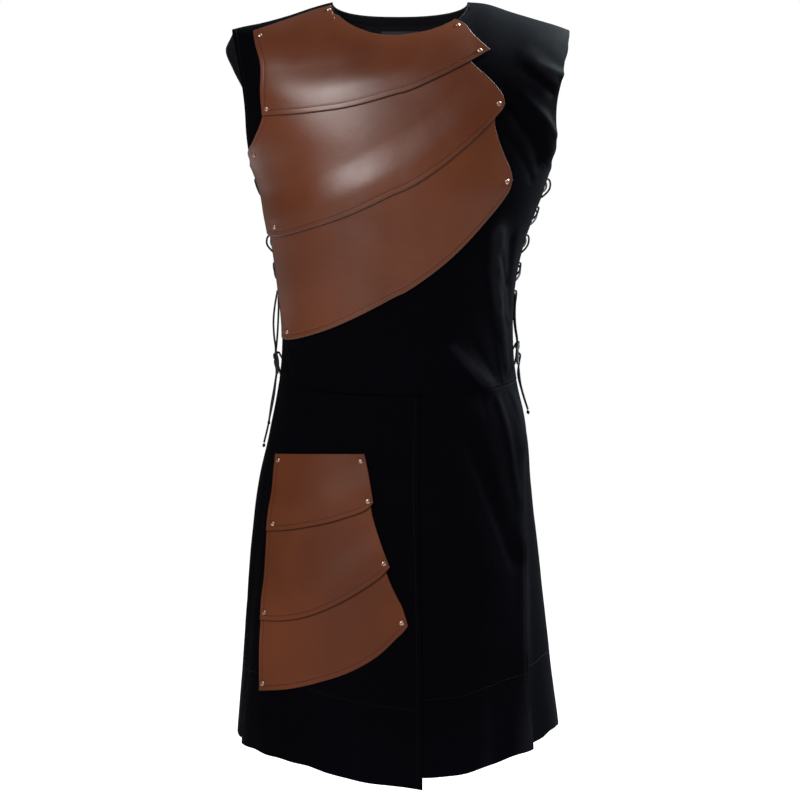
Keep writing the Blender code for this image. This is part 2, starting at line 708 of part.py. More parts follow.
def add_plates(leather, metal):
    dome = rivet_mesh(metal)
    for plates, columns, rows, group in ((CHEST_PLATES, CHEST_COLUMNS, CHEST_ROWS, "chest"),
                                        (THIGH_PLATES, THIGH_COLUMNS, THIGH_ROWS, "thigh")):
        count = 0
        for index, plate in enumerate(plates):
            shares = plate_columns(plates, index, columns)
            v = plate_rows(plates, index, shares[None], rows[index])
            u = np.broadcast_to(shares, v.shape)
            around, height = plate_patch(plates, index, u, v)
            lift = plate_lift(plates, index, u, v)
            wall(plate.name, around, height, lift, lift + LEATHER, leather)
            for at_u, at_v in plate.rivets:
                count += 1
                spot = np.array([[at_u]]), np.array([[at_v]])
                around, height = plate_patch(plates, index, *spot)
                lift = plate_lift(plates, index, *spot) + LEATHER + SEAM_GAP
                rivet = add_object(f"{group}_rivet_{count:02d}", dome, metal)
                rivet.matrix_world = standing_on(
                    on_cloth(around, height, lift)[0, 0], outward(around, height)[0, 0])


def add_label(fabric):
    """A plain label on the inside of the back neck."""
    across = np.linspace(-LABEL_HALF, LABEL_HALF, 7)
    height = np.linspace(LABEL_TOP - LABEL_TALL, LABEL_TOP, 5)[:, None] + 0 * across
    around = pi - angle_at(across + 0 * height, height)
    outside = -CLOTH - LAYER_GAP
    wall("neck_label", around, height, outside - LABEL_THICK, outside, fabric)


def side_spot(side, forward, height, lift):
    """A point by the side lacing: forward of the side line, at a height, off the cloth."""
    forward, height = np.asarray(forward, float), np.asarray(height, float)
    depth = np.where(forward > 0, size_at("front", height), size_at("back", height))
    cosine = np.sign(forward) * (np.abs(forward) / depth) ** (SQUARENESS / 2)
    return on_cloth(side * np.arccos(cosine), height, lift)


def by_knot(side, angle, out):
    """A point beside the bow's knot, out from its centre at an angle: (forward, height, lift)."""
    turn = radians(angle)
    return out * np.cos(turn), side.knot_height + out * np.sin(turn), side.knot_lift


def strand_route(side, front_first):
    """One strand of the crossed lacing, as (forward, height, lift) in metres.

    It starts in the middle of the bar inside the top eyelets. At each eyelet it comes out of
    the cloth, crosses the gap on the outside and slips in under the opposite edge. The last
    stretch bulges off the cloth by bulge * sin(pi * share) on its way to the knot.
    """
    face = 1 if front_first else -1
    edge, hole, quarter = LACE_GAP_HALF, EYELET_FROM_SIDE, EYELET_STEP / 4
    out, back = LACE_RADIUS + LACE_CLEAR, -CLOTH - LACE_RADIUS - LACE_CLEAR
    cross = out - LACE_CROSSING if front_first else back + LACE_CROSSING
    route = [(face * LACE_MIDDLE, EYELET_TOP, back)]
    for pair in range(EYELET_PAIRS):
        height = EYELET_TOP - pair * EYELET_STEP
        if pair:
            route.append((face * edge, height + quarter, back))
        route.append((face * (hole - LACE_BEND), height, back))
        route.append((face * (hole - LACE_CLEAR), height, back + LACE_DIP))
        route.append((face * hole, height, -CLOTH / 2))
        route.append((face * (hole - LACE_CLEAR), height, out - LACE_DIP))
        if pair < EYELET_PAIRS - 1:
            slack = side.crossings[pair] if front_first else 0
            route.append((face * (hole - LACE_SETTLE), height - LACE_SAG, out + slack / 2))
            route.append((face * edge, height - quarter, out + slack))
            route.append((0.0, height - 2 * quarter, cross + SLACK_PAST_EDGE * slack))
            face = -face
    start = np.array((face * (hole - LACE_BEND), height - LACE_SAG, out))
    end = np.array(by_knot(side, STRAND_AT, KNOT_FAR)) * (face, 1, 1)
    bulge = np.array((0, 0, side.to_knot[0 if front_first else 1]))
    for share in (0, 0.25, 0.5, 0.75):
        route.append(tuple(start + (end - start) * share + bulge * np.sin(pi * share)))
    route.append(tuple(end))
    route.append(tuple(np.array(by_knot(side, STRAND_AT, KNOT_NEAR)) * (face, 1, 1)))
    return route


def cord(name, points, finish):
    """A round cord along a smooth curve through points already in place."""
    data = bpy.data.curves.new(name, "CURVE")
    data.dimensions = "3D"
    data.bevel_depth = LACE_RADIUS
    data.bevel_resolution = 2
    data.use_fill_caps = True
    spline = data.splines.new("POLY")
    spline.points.add(len(points) - 1)
    spline.points.foreach_set("co", np.hstack([points, np.ones((len(points), 1))]).ravel())
    return add_object(name, data, finish)


def smooth_route(points, step):
    """Points every step metres along a smooth curve through a hand-chosen route."""
    points = np.array(points, dtype=float)
    knots = np.concatenate([[0], np.cumsum(np.linalg.norm(np.diff(points, axis=0), axis=1))])
    count = max(int(knots[-1] / step), len(points))
    return smooth(knots, points, np.linspace(0, knots[-1], count))


def free_lace(side, route, mirror, leaves_at, returns_at=None):
    """A bow loop or tail from the knot, turned to face the back where mirror is -1."""
    points = [by_knot(side, leaves_at, KNOT_NEAR), by_knot(side, leaves_at, KNOT_FAR)]
    for forward, height, lift in np.array(route) / 1000:
        points.append((forward, side.knot_height + height, lift))
    if returns_at is not None:
        points += [by_knot(side, returns_at, KNOT_FAR), by_knot(side, returns_at, KNOT_NEAR)]
    forward, height, lift = np.array(points).T
    return side_spot(side.sign, mirror * forward, height, lift)


def knot_mesh(name, size, finish):
    def build(made):
        bmesh.ops.create_uvsphere(made, u_segments=8, v_segments=5, radius=1)
        bmesh.ops.scale(made, vec=size, verts=made.verts)

    mesh = mesh_from(name, build)
    mesh.materials.append(finish)
    return mesh


def add_laces(fibre):
    bow_knot = knot_mesh("bow_knot", BOW_KNOT, fibre)
    end_knot = knot_mesh("end_knot", END_KNOT, fibre)
    for side in SIDES:
        for number, front_first in ((1, True), (2, False)):
            forward, height, lift = np.array(strand_route(side, front_first)).T
            cord(f"lace_{side.name}_{number}", side_spot(side.sign, forward, height, lift), fibre)
        knot = add_object(f"bow_knot_{side.name}", bow_knot, fibre)
        spot = side_spot(side.sign, LACE_MIDDLE / 2, side.knot_height, side.knot_lift)
        knot.matrix_world = Matrix.Translation(Vector(spot))
        for number, mirror, route in ((1, 1, SHORT_TAIL), (2, -1, side.back_tail)):
            loop = free_lace(side, BOW_LOOP, mirror, LOOP_AT, LOOP_BACK_AT)
            cord(f"bow_loop_{side.name}_{number}", smooth_route(loop, LOOP_STEP), fibre)
            tail = smooth_route(free_lace(side, route, mirror, TAIL_AT), TAIL_STEP)
            cord(f"lace_tail_{side.name}_{number}", tail, fibre)
            end = add_object(f"end_knot_{side.name}_{number}", end_knot, fibre)
            drop = Vector((0, 0, -END_KNOT_DROP))
            end.matrix_world = Matrix.Translation(Vector(tail[-1]) + drop)


def cut_eyelets(panel, face):
    """Cuts the row of lace holes down both side edges of a bodice panel."""
    forward = EYELET_FROM_SIDE * (1 if face == "front" else -1)

    def build(made):
        for side in SIDES:
            for pair in range(EYELET_PAIRS):
                height = EYELET_TOP - pair * EYELET_STEP
                depth = size_at(face, height)
                cosine = np.sign(forward) * (abs(forward) / depth) ** (SQUARENESS / 2)
                angle = side.sign * np.arccos(cosine)
                place = standing_on(on_cloth(angle, height, -CLOTH / 2), outward(angle, height))
                bmesh.ops.create_cone(made, cap_ends=True, segments=10, radius1=EYELET_RADIUS,
                                      radius2=EYELET_RADIUS, depth=3 * CLOTH, matrix=place)

    cutter = bpy.data.objects.new(f"eyelet_cutter_{face}", mesh_from(f"eyelets_{face}", build))
    bpy.context.scene.collection.objects.link(cutter)
    cutter.hide_render = True
    cutter.display_type = "WIRE"
    cut = panel.modifiers.new("eyelets", "BOOLEAN")
    cut.operation = "DIFFERENCE"
    cut.solver = "EXACT"
    cut.object = cutter


def main():
    for thing in list(bpy.data.objects):
        bpy.data.objects.remove(thing)
    cloth = material("black_cloth", (0.008, 0.008, 0.010), 0.85)
    leather = material("brown_leather", (0.110, 0.040, 0.020), 0.38)
    metal = material("rivet_metal", (0.42, 0.26, 0.17), 0.30, 1.0)
    fibre = material("lace_fibre", (0.010, 0.010, 0.012), 0.80)
    front, back = add_bodice(cloth)
    cut_eyelets(front, "front")
    cut_eyelets(back, "back")
    add_skirt(cloth)
    add_plates(leather, metal)
    add_label(material("label_satin", (0.020, 0.020, 0.024), 0.45))
    add_laces(fibre)


main()
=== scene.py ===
"""The looks of a laced tunic vest: black woven cloth, stitched leather plates, copper rivets
and round laces.

Metres, +Z up, the front facing -Y and the wearer's left at +X. Every cloth point is
ring(around, height), as in the vest's solids: around is the angle from centre front and
height the drop below the shoulders. Cloth pieces add finer creases to the solids' folds.
"""

from collections import namedtuple
from itertools import product
from math import pi, radians

import bpy
import numpy as np
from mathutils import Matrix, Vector


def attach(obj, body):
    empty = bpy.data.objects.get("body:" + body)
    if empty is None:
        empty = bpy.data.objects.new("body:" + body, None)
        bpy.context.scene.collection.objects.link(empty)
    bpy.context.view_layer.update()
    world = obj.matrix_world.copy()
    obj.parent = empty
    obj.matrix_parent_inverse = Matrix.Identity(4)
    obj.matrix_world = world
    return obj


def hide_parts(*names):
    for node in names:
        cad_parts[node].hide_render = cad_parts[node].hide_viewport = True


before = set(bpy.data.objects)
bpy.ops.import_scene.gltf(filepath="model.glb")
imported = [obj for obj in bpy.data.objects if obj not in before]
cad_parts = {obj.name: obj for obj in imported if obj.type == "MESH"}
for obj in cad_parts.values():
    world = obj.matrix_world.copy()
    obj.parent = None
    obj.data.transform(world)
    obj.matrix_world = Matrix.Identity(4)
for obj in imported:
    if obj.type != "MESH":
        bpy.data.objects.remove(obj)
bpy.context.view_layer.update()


# Cloth and neck
CLOTH = 0.0020
SEAM_GAP = 0.0003
SQUARENESS = 2.3
GIRTH_RADIUS = 0.14
NECK_HALF = 0.0875
NECK_DROP_FRONT, NECK_DROP_BACK = 0.060, 0.012
NECK_SHARE = 0.30
NECK_LINES, SIDE_LINES = 57, 47
BODY_LINES, ROLL_LINES = 85, 71
BODICE_HALF, BODICE_TALL = 0.22, 0.45
ROLL_AT_NECK, ROLL_AT_TIP = 0.150, 0.080
RIDGE_AT_NECK, RIDGE_AT_TIP = 1.45, 2.0
ROLL_SHARE, FOLDS_FROM = 0.38, 0.3
UNDERARM = -0.222
WAIST_SIDE = -0.490
WAIST_DIP_FRONT, WAIST_DIP_BACK = 0.022, 0.006
SKIRT_LINES, SKIRT_TALL, SETTLING_ROUNDS = 110, 0.46, 4
OVER_FROM, OVER_TO = -0.150, -0.070
TUCK_FROM, TUCK_TO, SKIRT_TUCK = radians(62), radians(82), 0.0054
HIDDEN_EDGE = -0.075
HEM_LEVEL = -0.95

# Leather and rivets
LEATHER = 0.0020
LAYER_GAP = 0.0009
PLATE_WIDE, PLATE_TALL = 0.24, 0.14
PLATE_OVERLAP = 0.018
PLATE_LEVEL, PLATE_REST = 0.020, 0.060
PLATE_MARGIN = 0.0015
PLATE_FROM_SIDE = 0.027
NECK_RIM, NECK_RIM_LEFT = 0.0040, 0.0003
NECK_RIM_FROM, NECK_RIM_TO = -0.040, 0.030
SHOULDER_RIM, SHOULDER_RIM_TIP = 0.0130, 0.0185
RIM_TURN = 0.076
RIVET_RADIUS, RIVET_HEIGHT = 0.0034, 0.0021
BURR_RADIUS, BURR_HEIGHT = 0.9 * RIVET_RADIUS, 0.5 * RIVET_HEIGHT
DIMPLE_DEPTH, DIMPLE_RADIUS = 0.0004, 0.0070

# Laces, their holes, bows and knots (angles at the knot in degrees)
LACE_RADIUS = 0.0013
LACE_GAP_HALF = 0.009
EYELET_FROM_SIDE = 0.020
EYELET_TOP, EYELET_STEP, EYELET_PAIRS = -0.232, 0.036, 5
LACE_CLEAR = 0.0010
LACE_CROSSING = 0.0012
LACE_MIDDLE = 0.0002
LACE_BEND, LACE_DIP = 0.0045, 0.0006
LACE_SETTLE, LACE_SAG = 0.0050, 0.0020
SLACK_PAST_EDGE = 0.35
KNOT_NEAR, KNOT_FAR = 0.00475, 0.0090
STRAND_AT, TAIL_AT = 65, -65
LOOP_AT, LOOP_BACK_AT = 22, -20
BOW_WRAP = (0.0023, 0.00125, 0.0018)
END_WRAP = (0.0013, 0.00085, 0.0010)
END_KNOT_DROP = 0.0029
PATH_STEP = 0.0015
HOLE_RADIUS = 0.0023
RIM_WIDTH, RIM_PROUD = 0.0012, 0.0005
RIM_SIDES, RIM_RIBS, RIM_SWELL = 88, 22, 0.10

# Label
LABEL_HALF, LABEL_TALL = 0.025, 0.020
LABEL_TOP = -0.026
LABEL_THICK, LABEL_GAP = 0.0005, 0.0002

# Seams, edges, stitches and the threads of the cloth
SEAM_LAP = 0.0002
SEAM_ALLOWANCE = 0.008
TURNED_WIDTH, TURNED_SOFT, TURNED_STEP = 0.013, 0.001, 0.0006
STITCH_FROM_EDGE = 0.0062
GROOVE_DEPTH, GROOVE_WIDTH = 0.00018, 0.0010
SUNK_SHARE = 0.6
HEM_FROM_EDGE = 0.095
HEM_DEPTH, HEM_WIDTH, HEM_SOFT = 0.00025, 0.0025, 0.002
NEAR_EDGE = np.array((0.3, 0.8, 1.4, 2.4, 4.2, 5.3, 6.2, 7.1, 8.2)) / 1000
NEAR_LABEL_EDGE = np.array((0.2, 0.5, 1.0)) / 1000
NEAR_HEM = np.array((-0.006, -0.003, 0.0, 0.003, 0.006))
SPREAD_FROM = 1.2
COLUMN_LEAST = 0.0005
WEAVE_PITCH = 0.0011
BRAID_PITCH = 0.0030
SATIN_PITCH = 0.0005

# Camera, floor and daylight
CAMERA_DISTANCE, CAMERA_HEIGHT = 2.4, -0.517
FRAME_WIDTH, SENSOR = 1.04, 36.0
FLOOR, FLOOR_HALF = -1.50, 9.0
WORLD_LIGHT = 0.17

# Colours of the materials (linear)
CLOTH_DARK, CLOTH_LIGHT = (0.0003, 0.0002, 0.0006), (0.0007, 0.0006, 0.0012)
# The pale cloth colour serves the worn edges and, on the fold crests, a painted sheen
CLOTH_WEAR_AND_SHEEN, LINT = (0.0058, 0.0054, 0.0072), (0.004, 0.004, 0.005)
CLOTH_INSIDE = (0.0100, 0.0098, 0.0115)
LEATHER_DARK, LEATHER_LIGHT = (0.047, 0.0106, 0.0028), (0.067, 0.0164, 0.0048)
# The leather's edge colour is the cut edges' own dark dye and also a painted shadow along them
LEATHER_RED, LEATHER_EDGE_AND_SHADOW = (0.054, 0.0112, 0.0030), (0.014, 0.0032, 0.0013)
COPPER_DARK, COPPER_BRIGHT = (0.15, 0.075, 0.055), (0.36, 0.23, 0.19)
FIBRE_DARK, FIBRE_LIGHT = (0.0025, 0.0025, 0.0028), (0.010, 0.010, 0.011)
BLACK_THREAD = (0.0006, 0.0006, 0.0009), (0.0026, 0.0025, 0.0030)
BROWN_THREAD = (0.022, 0.0055, 0.0025), (0.055, 0.016, 0.008)
SATIN_DARK, SATIN_LIGHT = (0.010, 0.010, 0.012), (0.020, 0.020, 0.024)
FLOOR_DARK, FLOOR_LIGHT = (0.86, 0.86, 0.86), (0.90, 0.90, 0.90)
WHITE, SKY = (1.0, 1.0, 1.0), (0.80, 0.94, 1.0)

# The lamps: place, the point each faces, width and height, power and colour
LAMPS = (
    ("tall_softbox", (-1.00, -2.12, 0.80), (-0.02, -0.10, -0.30), (1.20, 1.35), 92, WHITE),
    ("shoulder_light", (1.18, 0.50, 0.85), (0.17, 0.0, -0.05), (0.8, 0.8), 205, SKY),
)


def table(names, degrees, *rows):
    """Columns of a table by name, from millimetres to metres and, for the columns named
    in degrees, to radians."""
    columns = zip(names.split(), np.array(rows, dtype=float).T)
    return {name: np.radians(values) if name in degrees else values / 1000
            for name, values in columns}


# The worn cloth's outline at each height: half widths to the wearer's right and left,
# depths to the front and the back.
SECTIONS = table(
    "height right left front back", (),
    (-1000, 218.5, 215.5, 151, 147),
    (-940, 216, 211, 147, 143),
    (-870, 210, 202, 141, 138),
    (-800, 205.5, 194.5, 136, 133),
    (-710, 197, 184.5, 128, 127),
    (-620, 184.5, 174.5, 120, 119),
    (-555, 169, 169, 113, 109),
    (-490, 156.5, 151.5, 108, 97),
    (-430, 152.5, 146.5, 110, 93),
    (-370, 158, 149.5, 115, 96),
    (-310, 166.5, 162, 121, 104),
    (-250, 180, 185, 126, 113),
    (-222, 190, 194.5, 126, 116),
    (-190, 206.5, 208, 126, 119),
    (-120, 228, 229, 123, 118),
    (-60, 240, 240, 120, 114),
    (20, 240, 240, 120, 112),
)

# Height of the shoulder seam at each distance out from the centre.
SHOULDERS = table(
    "out right left", (),
    (0, 0, 0),
    (87.5, 0, 0),
    (110, -6, -2),
    (145, -18, -13.5),
    (180, -28, -24.5),
    (205, -33, -32),
    (240, -42, -45),
)

# How far out the armhole's edge lies at each height, on each panel and side.
ARMHOLES = table(
    "height front_right front_left back_right back_left", (),
    (-228, 205, 205, 205, 205),
    (-214, 190.8, 195, 190.6, 194.8),
    (-200, 193.5, 197, 193, 196.6),
    (-180, 195.5, 198.2, 194.8, 198.2),
    (-140, 198, 199.2, 199, 200),
    (-105, 203, 206.5, 209, 209),
    (-80, 208, 211, 221.5, 215),
    (-56, 213.5, 216.5, 229.5, 222),
    (-36, 218, 220, 218, 220),
)

# Where the skirt panels end: the top layer's front edge, the lower layer's side edge, and
# the back panel's two edges, which tuck in under the front panels.
SKIRT_EDGES = table(
    "height over_front over_side under_side back_left back_right",
    ("over_side", "under_side", "back_left", "back_right"),
    (-1000, 27.5, -67, 48.5, 38, 310),
    (-870, 27, -70, 49.5, 39, 306),
    (-720, 24.5, -75, 56, 43, 300),
    (-630, 22.5, -79, 62, 50, 295),
    (-550, 24, -83, 71, 64, 286),
    (-490, 25.5, -85, 83, 88, 272),
)

# Hem heights at each angle round the body.
HEMS = table(
    "around over under back", ("around",),
    (-80, -952, -984, -948),
    (-50, -956, -950, -952),
    (-30, -967, -956, -955),
    (-10, -982, -973, -955),
    (12, -996, -978, -955),
    (30, -996, -964, -953),
    (50, -996, -950, -945),
    (70, -996, -942, -935),
    (95, -996, -950, -936),
    (140, -996, -954, -950),
    (180, -996, -954, -956),
    (220, -996, -954, -951),
    (270, -996, -954, -944),
    (310, -996, -954, -950),
)

# The largest folds: soft ridges (rise > 0) and troughs (rise < 0). Each row has the angle and
# height where it starts and where it ends, its width, and its rise at the start and the end.
FOLD_UNITS = np.array((radians(1), 0.001, radians(1), 0.001, 0.001, 0.001, 0.001))
FOLDS = FOLD_UNITS * (
    (47, -310, 62, -470, 14, 5.5, 4),
    (60, -315, 72, -400, 10, -3.5, -2),
    (37, -150, 63, -215, 11, -3, -4.5),
    (52, -165, 70, -200, 12, 2.5, 3.5),
    (40, -85, 54, -112, 11, 2, 3),
    (24, -450, 44, -497, 12, 2, 3.5),
    (66, -520, 44, -960, 14, 3, 5),
    (26, -565, 47, -715, 13, -3, -4.5),
    (180, -230, 180, -520, 30, -4, -6),
    (152, -470, 122, -330, 14, -4, -2.5),
    (209, -460, 236, -350, 16, -4.5, -2.5),
    (130, -130, 112, -210, 13, -2.5, -3.5),
    (231, -120, 246, -200, 12, -2, -3),
    (112, -560, 108, -960, 26, 2, 8),
    (125, -600, 126, -960, 22, -0.5, -6),
    (138, -540, 143, -960, 24, 2, 9),
    (158, -620, 156, -960, 24, -0.5, -7),
    (174, -560, 170, -960, 26, 2, 10),
    (188, -580, 187, -960, 22, -0.5, -5.5),
    (205, -530, 204, -960, 24, 2, 7.5),
    (219, -620, 222, -960, 24, -0.5, -7),
    (237, -570, 241, -960, 27, 2, 9.5),
)

# Finer creases of the cloth alone, in the same columns as the folds
CREASES = FOLD_UNITS * (
    (39, -104, 56, -130, 5.5, -1.2, -2.2),
    (45, -96, 60, -106, 5, 1.2, 2.8),
    (33, -182, 60, -238, 5, -0.8, -1.8),
    (41, -140, 66, -182, 6, 1.4, 3),
    (30, -130, 44, -172, 7, -0.8, -1.4),
    (50, -334, 65, -370, 5.5, -1.8, -2.6),
    (44, -352, 58, -405, 5, 0.6, 1.2),
    (55, -400, 70, -425, 4.5, -0.8, -1.6),
    (23, -452, 40, -494, 5, 0.8, 1.6),
    (17, -470, 27, -503, 4.5, -0.4, -1),
    (34, -442, 49, -488, 5.5, -0.6, -1.4),
    (53, -450, 57, -492, 4, 0.4, 1.1),
    (66, -446, 64, -490, 4, -0.4, -1),
    (8, -480, 12, -510, 4, 0.2, 0.7),
    (-63, -452, -28, -478, 6, -1.2, -0.4),
    (-50, -470, -18, -496, 5, 0.8, 0.2),
    (-70, -463, -58, -492, 4.5, -1, -0.6),
    (-36, -486, -33, -506, 4, 0.4, 0.9),
    (-12, -492, -8, -512, 4.5, -0.2, -0.8),
    (24, -578, 44, -724, 5.5, 0.8, 1.4),
    (31, -545, 40, -640, 6.5, -0.6, -1.2),
    (49, -518, 55, -640, 6, 3, 1.2),
    (60, -512, 63, -570, 5, -1.2, -0.3),
    (20, -514, 23, -556, 4.5, 0.8, 0.2),
    (38, -512, 37, -548, 4, -0.8, -0.2),
    (52, -700, 43, -965, 9, -0.8, -2.2),
    (30, -690, 27, -975, 12, 0.4, 1.8),
    (14, -640, 15, -985, 11, -0.3, -1.4),
    (-14, -560, -11, -985, 13, 0.3, 1.3),
    (-34, -880, -30, -970, 12, -0.3, -1.6),
    (-52, -890, -49, -960, 11, 0.3, 1.5),
    (-64, -530, -69, -950, 10, -0.6, -1.8),
    (-78, -510, -73, -600, 6, 1.2, 0.2),
    (-26, -512, -24, -556, 5, 0.8, 0.1),
    (-44, -508, -43, -560, 5.5, -0.8, -0.1),
    (164, -418, 146, -478, 7, -0.8, -1.8),
    (198, -424, 224, -470, 7, -0.8, -2),
    (150, -456, 208, -463, 8, -1, -1.4),
    (158, -472, 199, -480, 6, 1, 0.7),
    (134, -430, 120, -468, 5.5, 0.6, 1.3),
    (228, -436, 243, -478, 5.5, 0.6, 1.4),
    (140, -300, 116, -352, 6.5, -0.5, -1.6),
    (218, -290, 243, -356, 6.5, -0.5, -1.8),
    (126, -150, 113, -196, 6, -0.6, -1.8),
    (135, -108, 121, -142, 6, 0.5, 1.3),
    (233, -148, 246, -192, 6, -0.6, -1.7),
    (224, -104, 239, -138, 6, 0.5, 1.4),
    (176, -40, 172, -110, 12, -1, -0.3),
    (187, -170, 190, -300, 11, 0.4, 1.2),
    (104, -505, 103, -580, 6, 1.3, 0.2),
    (119, -500, 118, -592, 5.5, -1.3, -0.2),
    (132, -498, 130, -570, 6, 1.4, 0.2),
    (148, -500, 149, -610, 6, -1.4, -0.3),
    (163, -500, 162, -574, 5, 1.2, 0.1),
    (181, -500, 181, -600, 6.5, -1.5, -0.3),
    (196, -500, 197, -566, 5, 1.2, 0.1),
    (213, -498, 212, -606, 6, -1.4, -0.3),
    (229, -500, 231, -580, 5.5, 1.3, 0.2),
    (247, -500, 249, -600, 5.5, -1.3, -0.3),
    (262, -505, 264, -568, 5, 1.1, 0.1),
)

# Puckers that run from each lace hole into the panel: lengths from the top pair down, the drop
# of each one's far end, and their width, depth and last depth
PULLS = (0.022, 0.034, 0.016, 0.029, 0.024)
PULL_DROPS = (-0.004, -0.001, 0.002)
PULL_SHAPE = (0.0035, -0.0009, -0.0001)

# Long crossing waves in the worn cloth, and two along the hem: height of a wave, its angle per
# metre across and down (per radian round, on the hem), and the angle where it starts
WAVES = ((0.00015, 38, 21, 0.0), (0.00011, -33, 61, 1.7), (0.00008, 97, 44, 0.6),
         (0.00006, 58, 130, 2.9))
HEM_WAVES = ((0.0007, 11, 0.8), (0.0004, 27, 2.1))

# Plate outlines as seen from the front, in millimetres: across from the centre and down from
# the origin, from the wearer's right to left or from top to bottom. The foot runs through its
# own points from the left edge's end to the right edge's. A point past the cloth's edge is
# drawn in to the edge. Rivets are shares of the plate's width and height.
Plate = namedtuple("Plate", "left right foot rivets")
CHEST_PLATES = (
    Plate(
        left=((-187, -51), (-182, -71), (-176, -91), (-173, -130), (-170, -161)),
        right=((69, 0), (77, -41), (92, -62), (112, -82)),
        foot=((-116, -162), (-61, -156), (0, -140), (41, -123), (82, -101)),
        rivets=((0.030, 0.098), (0.369, 0.050), (0.972, 0.145), (0.958, 0.905), (0.035, 0.930)),
    ),
    Plate(
        left=((-170, -143), (-171, -160), (-184, -189), (-230, -202), (-230, -215),
              (-230, -240), (-230, -270), (-230, -303)),
        right=((82, -83), (89, -98), (107, -116), (119, -129), (126, -139), (128.5, -148)),
        foot=((-158, -308), (-109, -303), (-55, -286), (0, -261), (44, -235), (88, -197),
              (115, -169), (125, -157)),
        rivets=((0.060, 0.448), (0.966, 0.885), (0.112, 0.938)),
    ),
    Plate(
        left=((-230, -285), (-230, -330), (-230, -380), (-230, -437)),
        right=((115, -150), (117, -174), (122, -194), (130, -214), (137, -230), (139.5, -242)),
        foot=((-144, -440), (-120, -438), (-83, -427), (-29, -402), (25, -372), (77, -328),
              (111, -289), (128, -267), (136, -254)),
        rivets=((0.962, 0.885), (0.078, 0.930)),
    ),
)
THIGH_PLATES = (
    Plate(
        left=((-156, -585), (-160, -632), (-165, -682)),
        right=((-43, -584), (-38, -608), (-32, -644)),
        foot=((-150, -681), (-117, -676), (-69, -664), (-37, -650)),
        rivets=((0.074, 0.085), (0.955, 0.140), (0.945, 0.880), (0.090, 0.905)),
    ),
    Plate(
        left=((-165, -664), (-169, -735), (-172, -793)),
        right=((-37, -632), (-34, -656), (-24, -690), (-12, -723)),
        foot=((-149, -792), (-117, -786), (-84, -773), (-47, -752), (-21, -733)),
        rivets=((0.965, 0.895), (0.046, 0.922)),
    ),
    Plate(
        left=((-172, -775), (-175, -827), (-175, -881)),
        right=((-21, -715), (-13, -738), (0, -765), (10, -794)),
        foot=((-133, -874), (-100, -865), (-59, -850), (-27, -831), (0, -806)),
        rivets=((0.962, 0.880), (0.035, 0.912)),
    ),
)

# Shapes turned about an axis, as (share of the radius, share of the height): a rivet's dome,
# the burr that holds it inside, and the punch that cuts a lace hole
RIVET_PROFILE = ((0.01, -0.10), (0.90, -0.08), (1.0, 0.08), (1.0, 0.22), (0.94, 0.38), (0.88, 0.44),
                 (0.80, 0.62), (0.62, 0.82), (0.40, 0.94), (0.18, 0.99), (0.01, 1.0))
BURR_PROFILE = ((0.01, -0.10), (0.95, -0.08), (1.0, 0.10), (0.92, 0.24), (0.60, 0.26), (0.42, 0.50),
                (0.20, 0.56), (0.01, 0.56))
PUNCH_PROFILE = ((0.01, -2.0), (1.0, -2.0), (1.0, 2.0), (0.01, 2.0))

# Along one stitch: place as a share of its length, thickness and rise as shares of its radius
STITCH_PROFILE = ((-0.5, 0.35, -1.1), (-0.36, 0.95, 0.1), (0.0, 1.0, 0.45), (0.36, 0.95, 0.1),
                  (0.5, 0.35, -1.1))
STITCH_SIDES = 5

# Free stretches of each side's lace past the knot, as points (forward of the side line or
# behind it, height from the knot, lift off the cloth) in millimetres. A cord leaves the knot
# at its own angle in degrees, 0 straight forward and -90 straight down.
BOW_LOOP = ((15, 5, 7), (25, 2.5, 8), (33, -6.5, 7), (34, -17.5, 6), (27, -23.5, 5),
            (17, -15.5, 5))
SHORT_TAIL = ((8, -18, 5), (15, -33, 4.5), (20, -51, 4), (22, -69, 4), (21, -84, 4))
LONG_TAIL = ((4, -18, 6), (7, -38, 6), (8, -62, 6), (6, -88, 4), (5, -114, 4))
MIDDLE_TAIL = ((4, -10, 8), (6, -21, 7), (8, -34, 4), (7, -60, 4), (5, -84, 4))

# Each side's lacing: the knot's height and lift off the cloth, how far each crossing of the
# outer strand and each end on its way to the knot bulges off the cloth, and its back tail.
Side = namedtuple("Side", "name sign knot_height knot_lift crossings to_knot back_tail")
SIDES = (
    Side("right", -1, -0.460, 0.0085, (0, 0, 0.0045, 0.001), (0.0055, 0.001), LONG_TAIL),
    Side("left", 1, -0.447, 0.0055, (0.004, 0.0015, 0.003, 0.002), (-0.0015, -0.0015),
         MIDDLE_TAIL),
)


def unit(vectors):
    return vectors / np.linalg.norm(vectors, axis=-1, keepdims=True)


def smooth(knots, values, at):
    """Values on a smooth curve through the knots: cubic steps with the knots' own slopes."""
    slopes = np.gradient(values, knots, axis=0)
    at = np.clip(at, knots[0], knots[-1])
    i = np.clip(np.searchsorted(knots, at) - 1, 0, len(knots) - 2)
    step = knots[i + 1] - knots[i]
    t = (at - knots[i]) / step
    if values.ndim > 1:
        t, step = t[..., None], step[..., None]
    start = (1 + 2 * t) * (1 - t) ** 2 * values[i] + t * (1 - t) ** 2 * step * slopes[i]
    end = t * t * (3 - 2 * t) * values[i + 1] - t * t * (1 - t) * step * slopes[i + 1]
    return start + end


def ease(low, high, value):
    """0 below low, 1 above high, with a soft start and stop between."""
    t = np.clip((value - low) / (high - low), 0, 1)
    return t * t * (3 - 2 * t)


def dome(share, power=2):
    """Rises from 0 to 1 as steeply as a round edge does: (1 - (1 - share)^2)^(1/power)."""
    return (1 - (1 - np.clip(share, 0, 1)) ** 2) ** (1 / power)


def mound(distance, width):
    """1 on a line or a spot, fading with the distance: exp(-(distance / width)^2)."""
    return np.exp(-((distance / width) ** 2))


def turns(count):
    """Even angles round a whole turn, one to a row."""
    return np.linspace(0, 2 * pi, count + 1)[:-1, None]


def reading(columns, name, at, along="height"):
    """One column of a table, read smoothly between its rows."""
    return smooth(columns[along], columns[name], at)


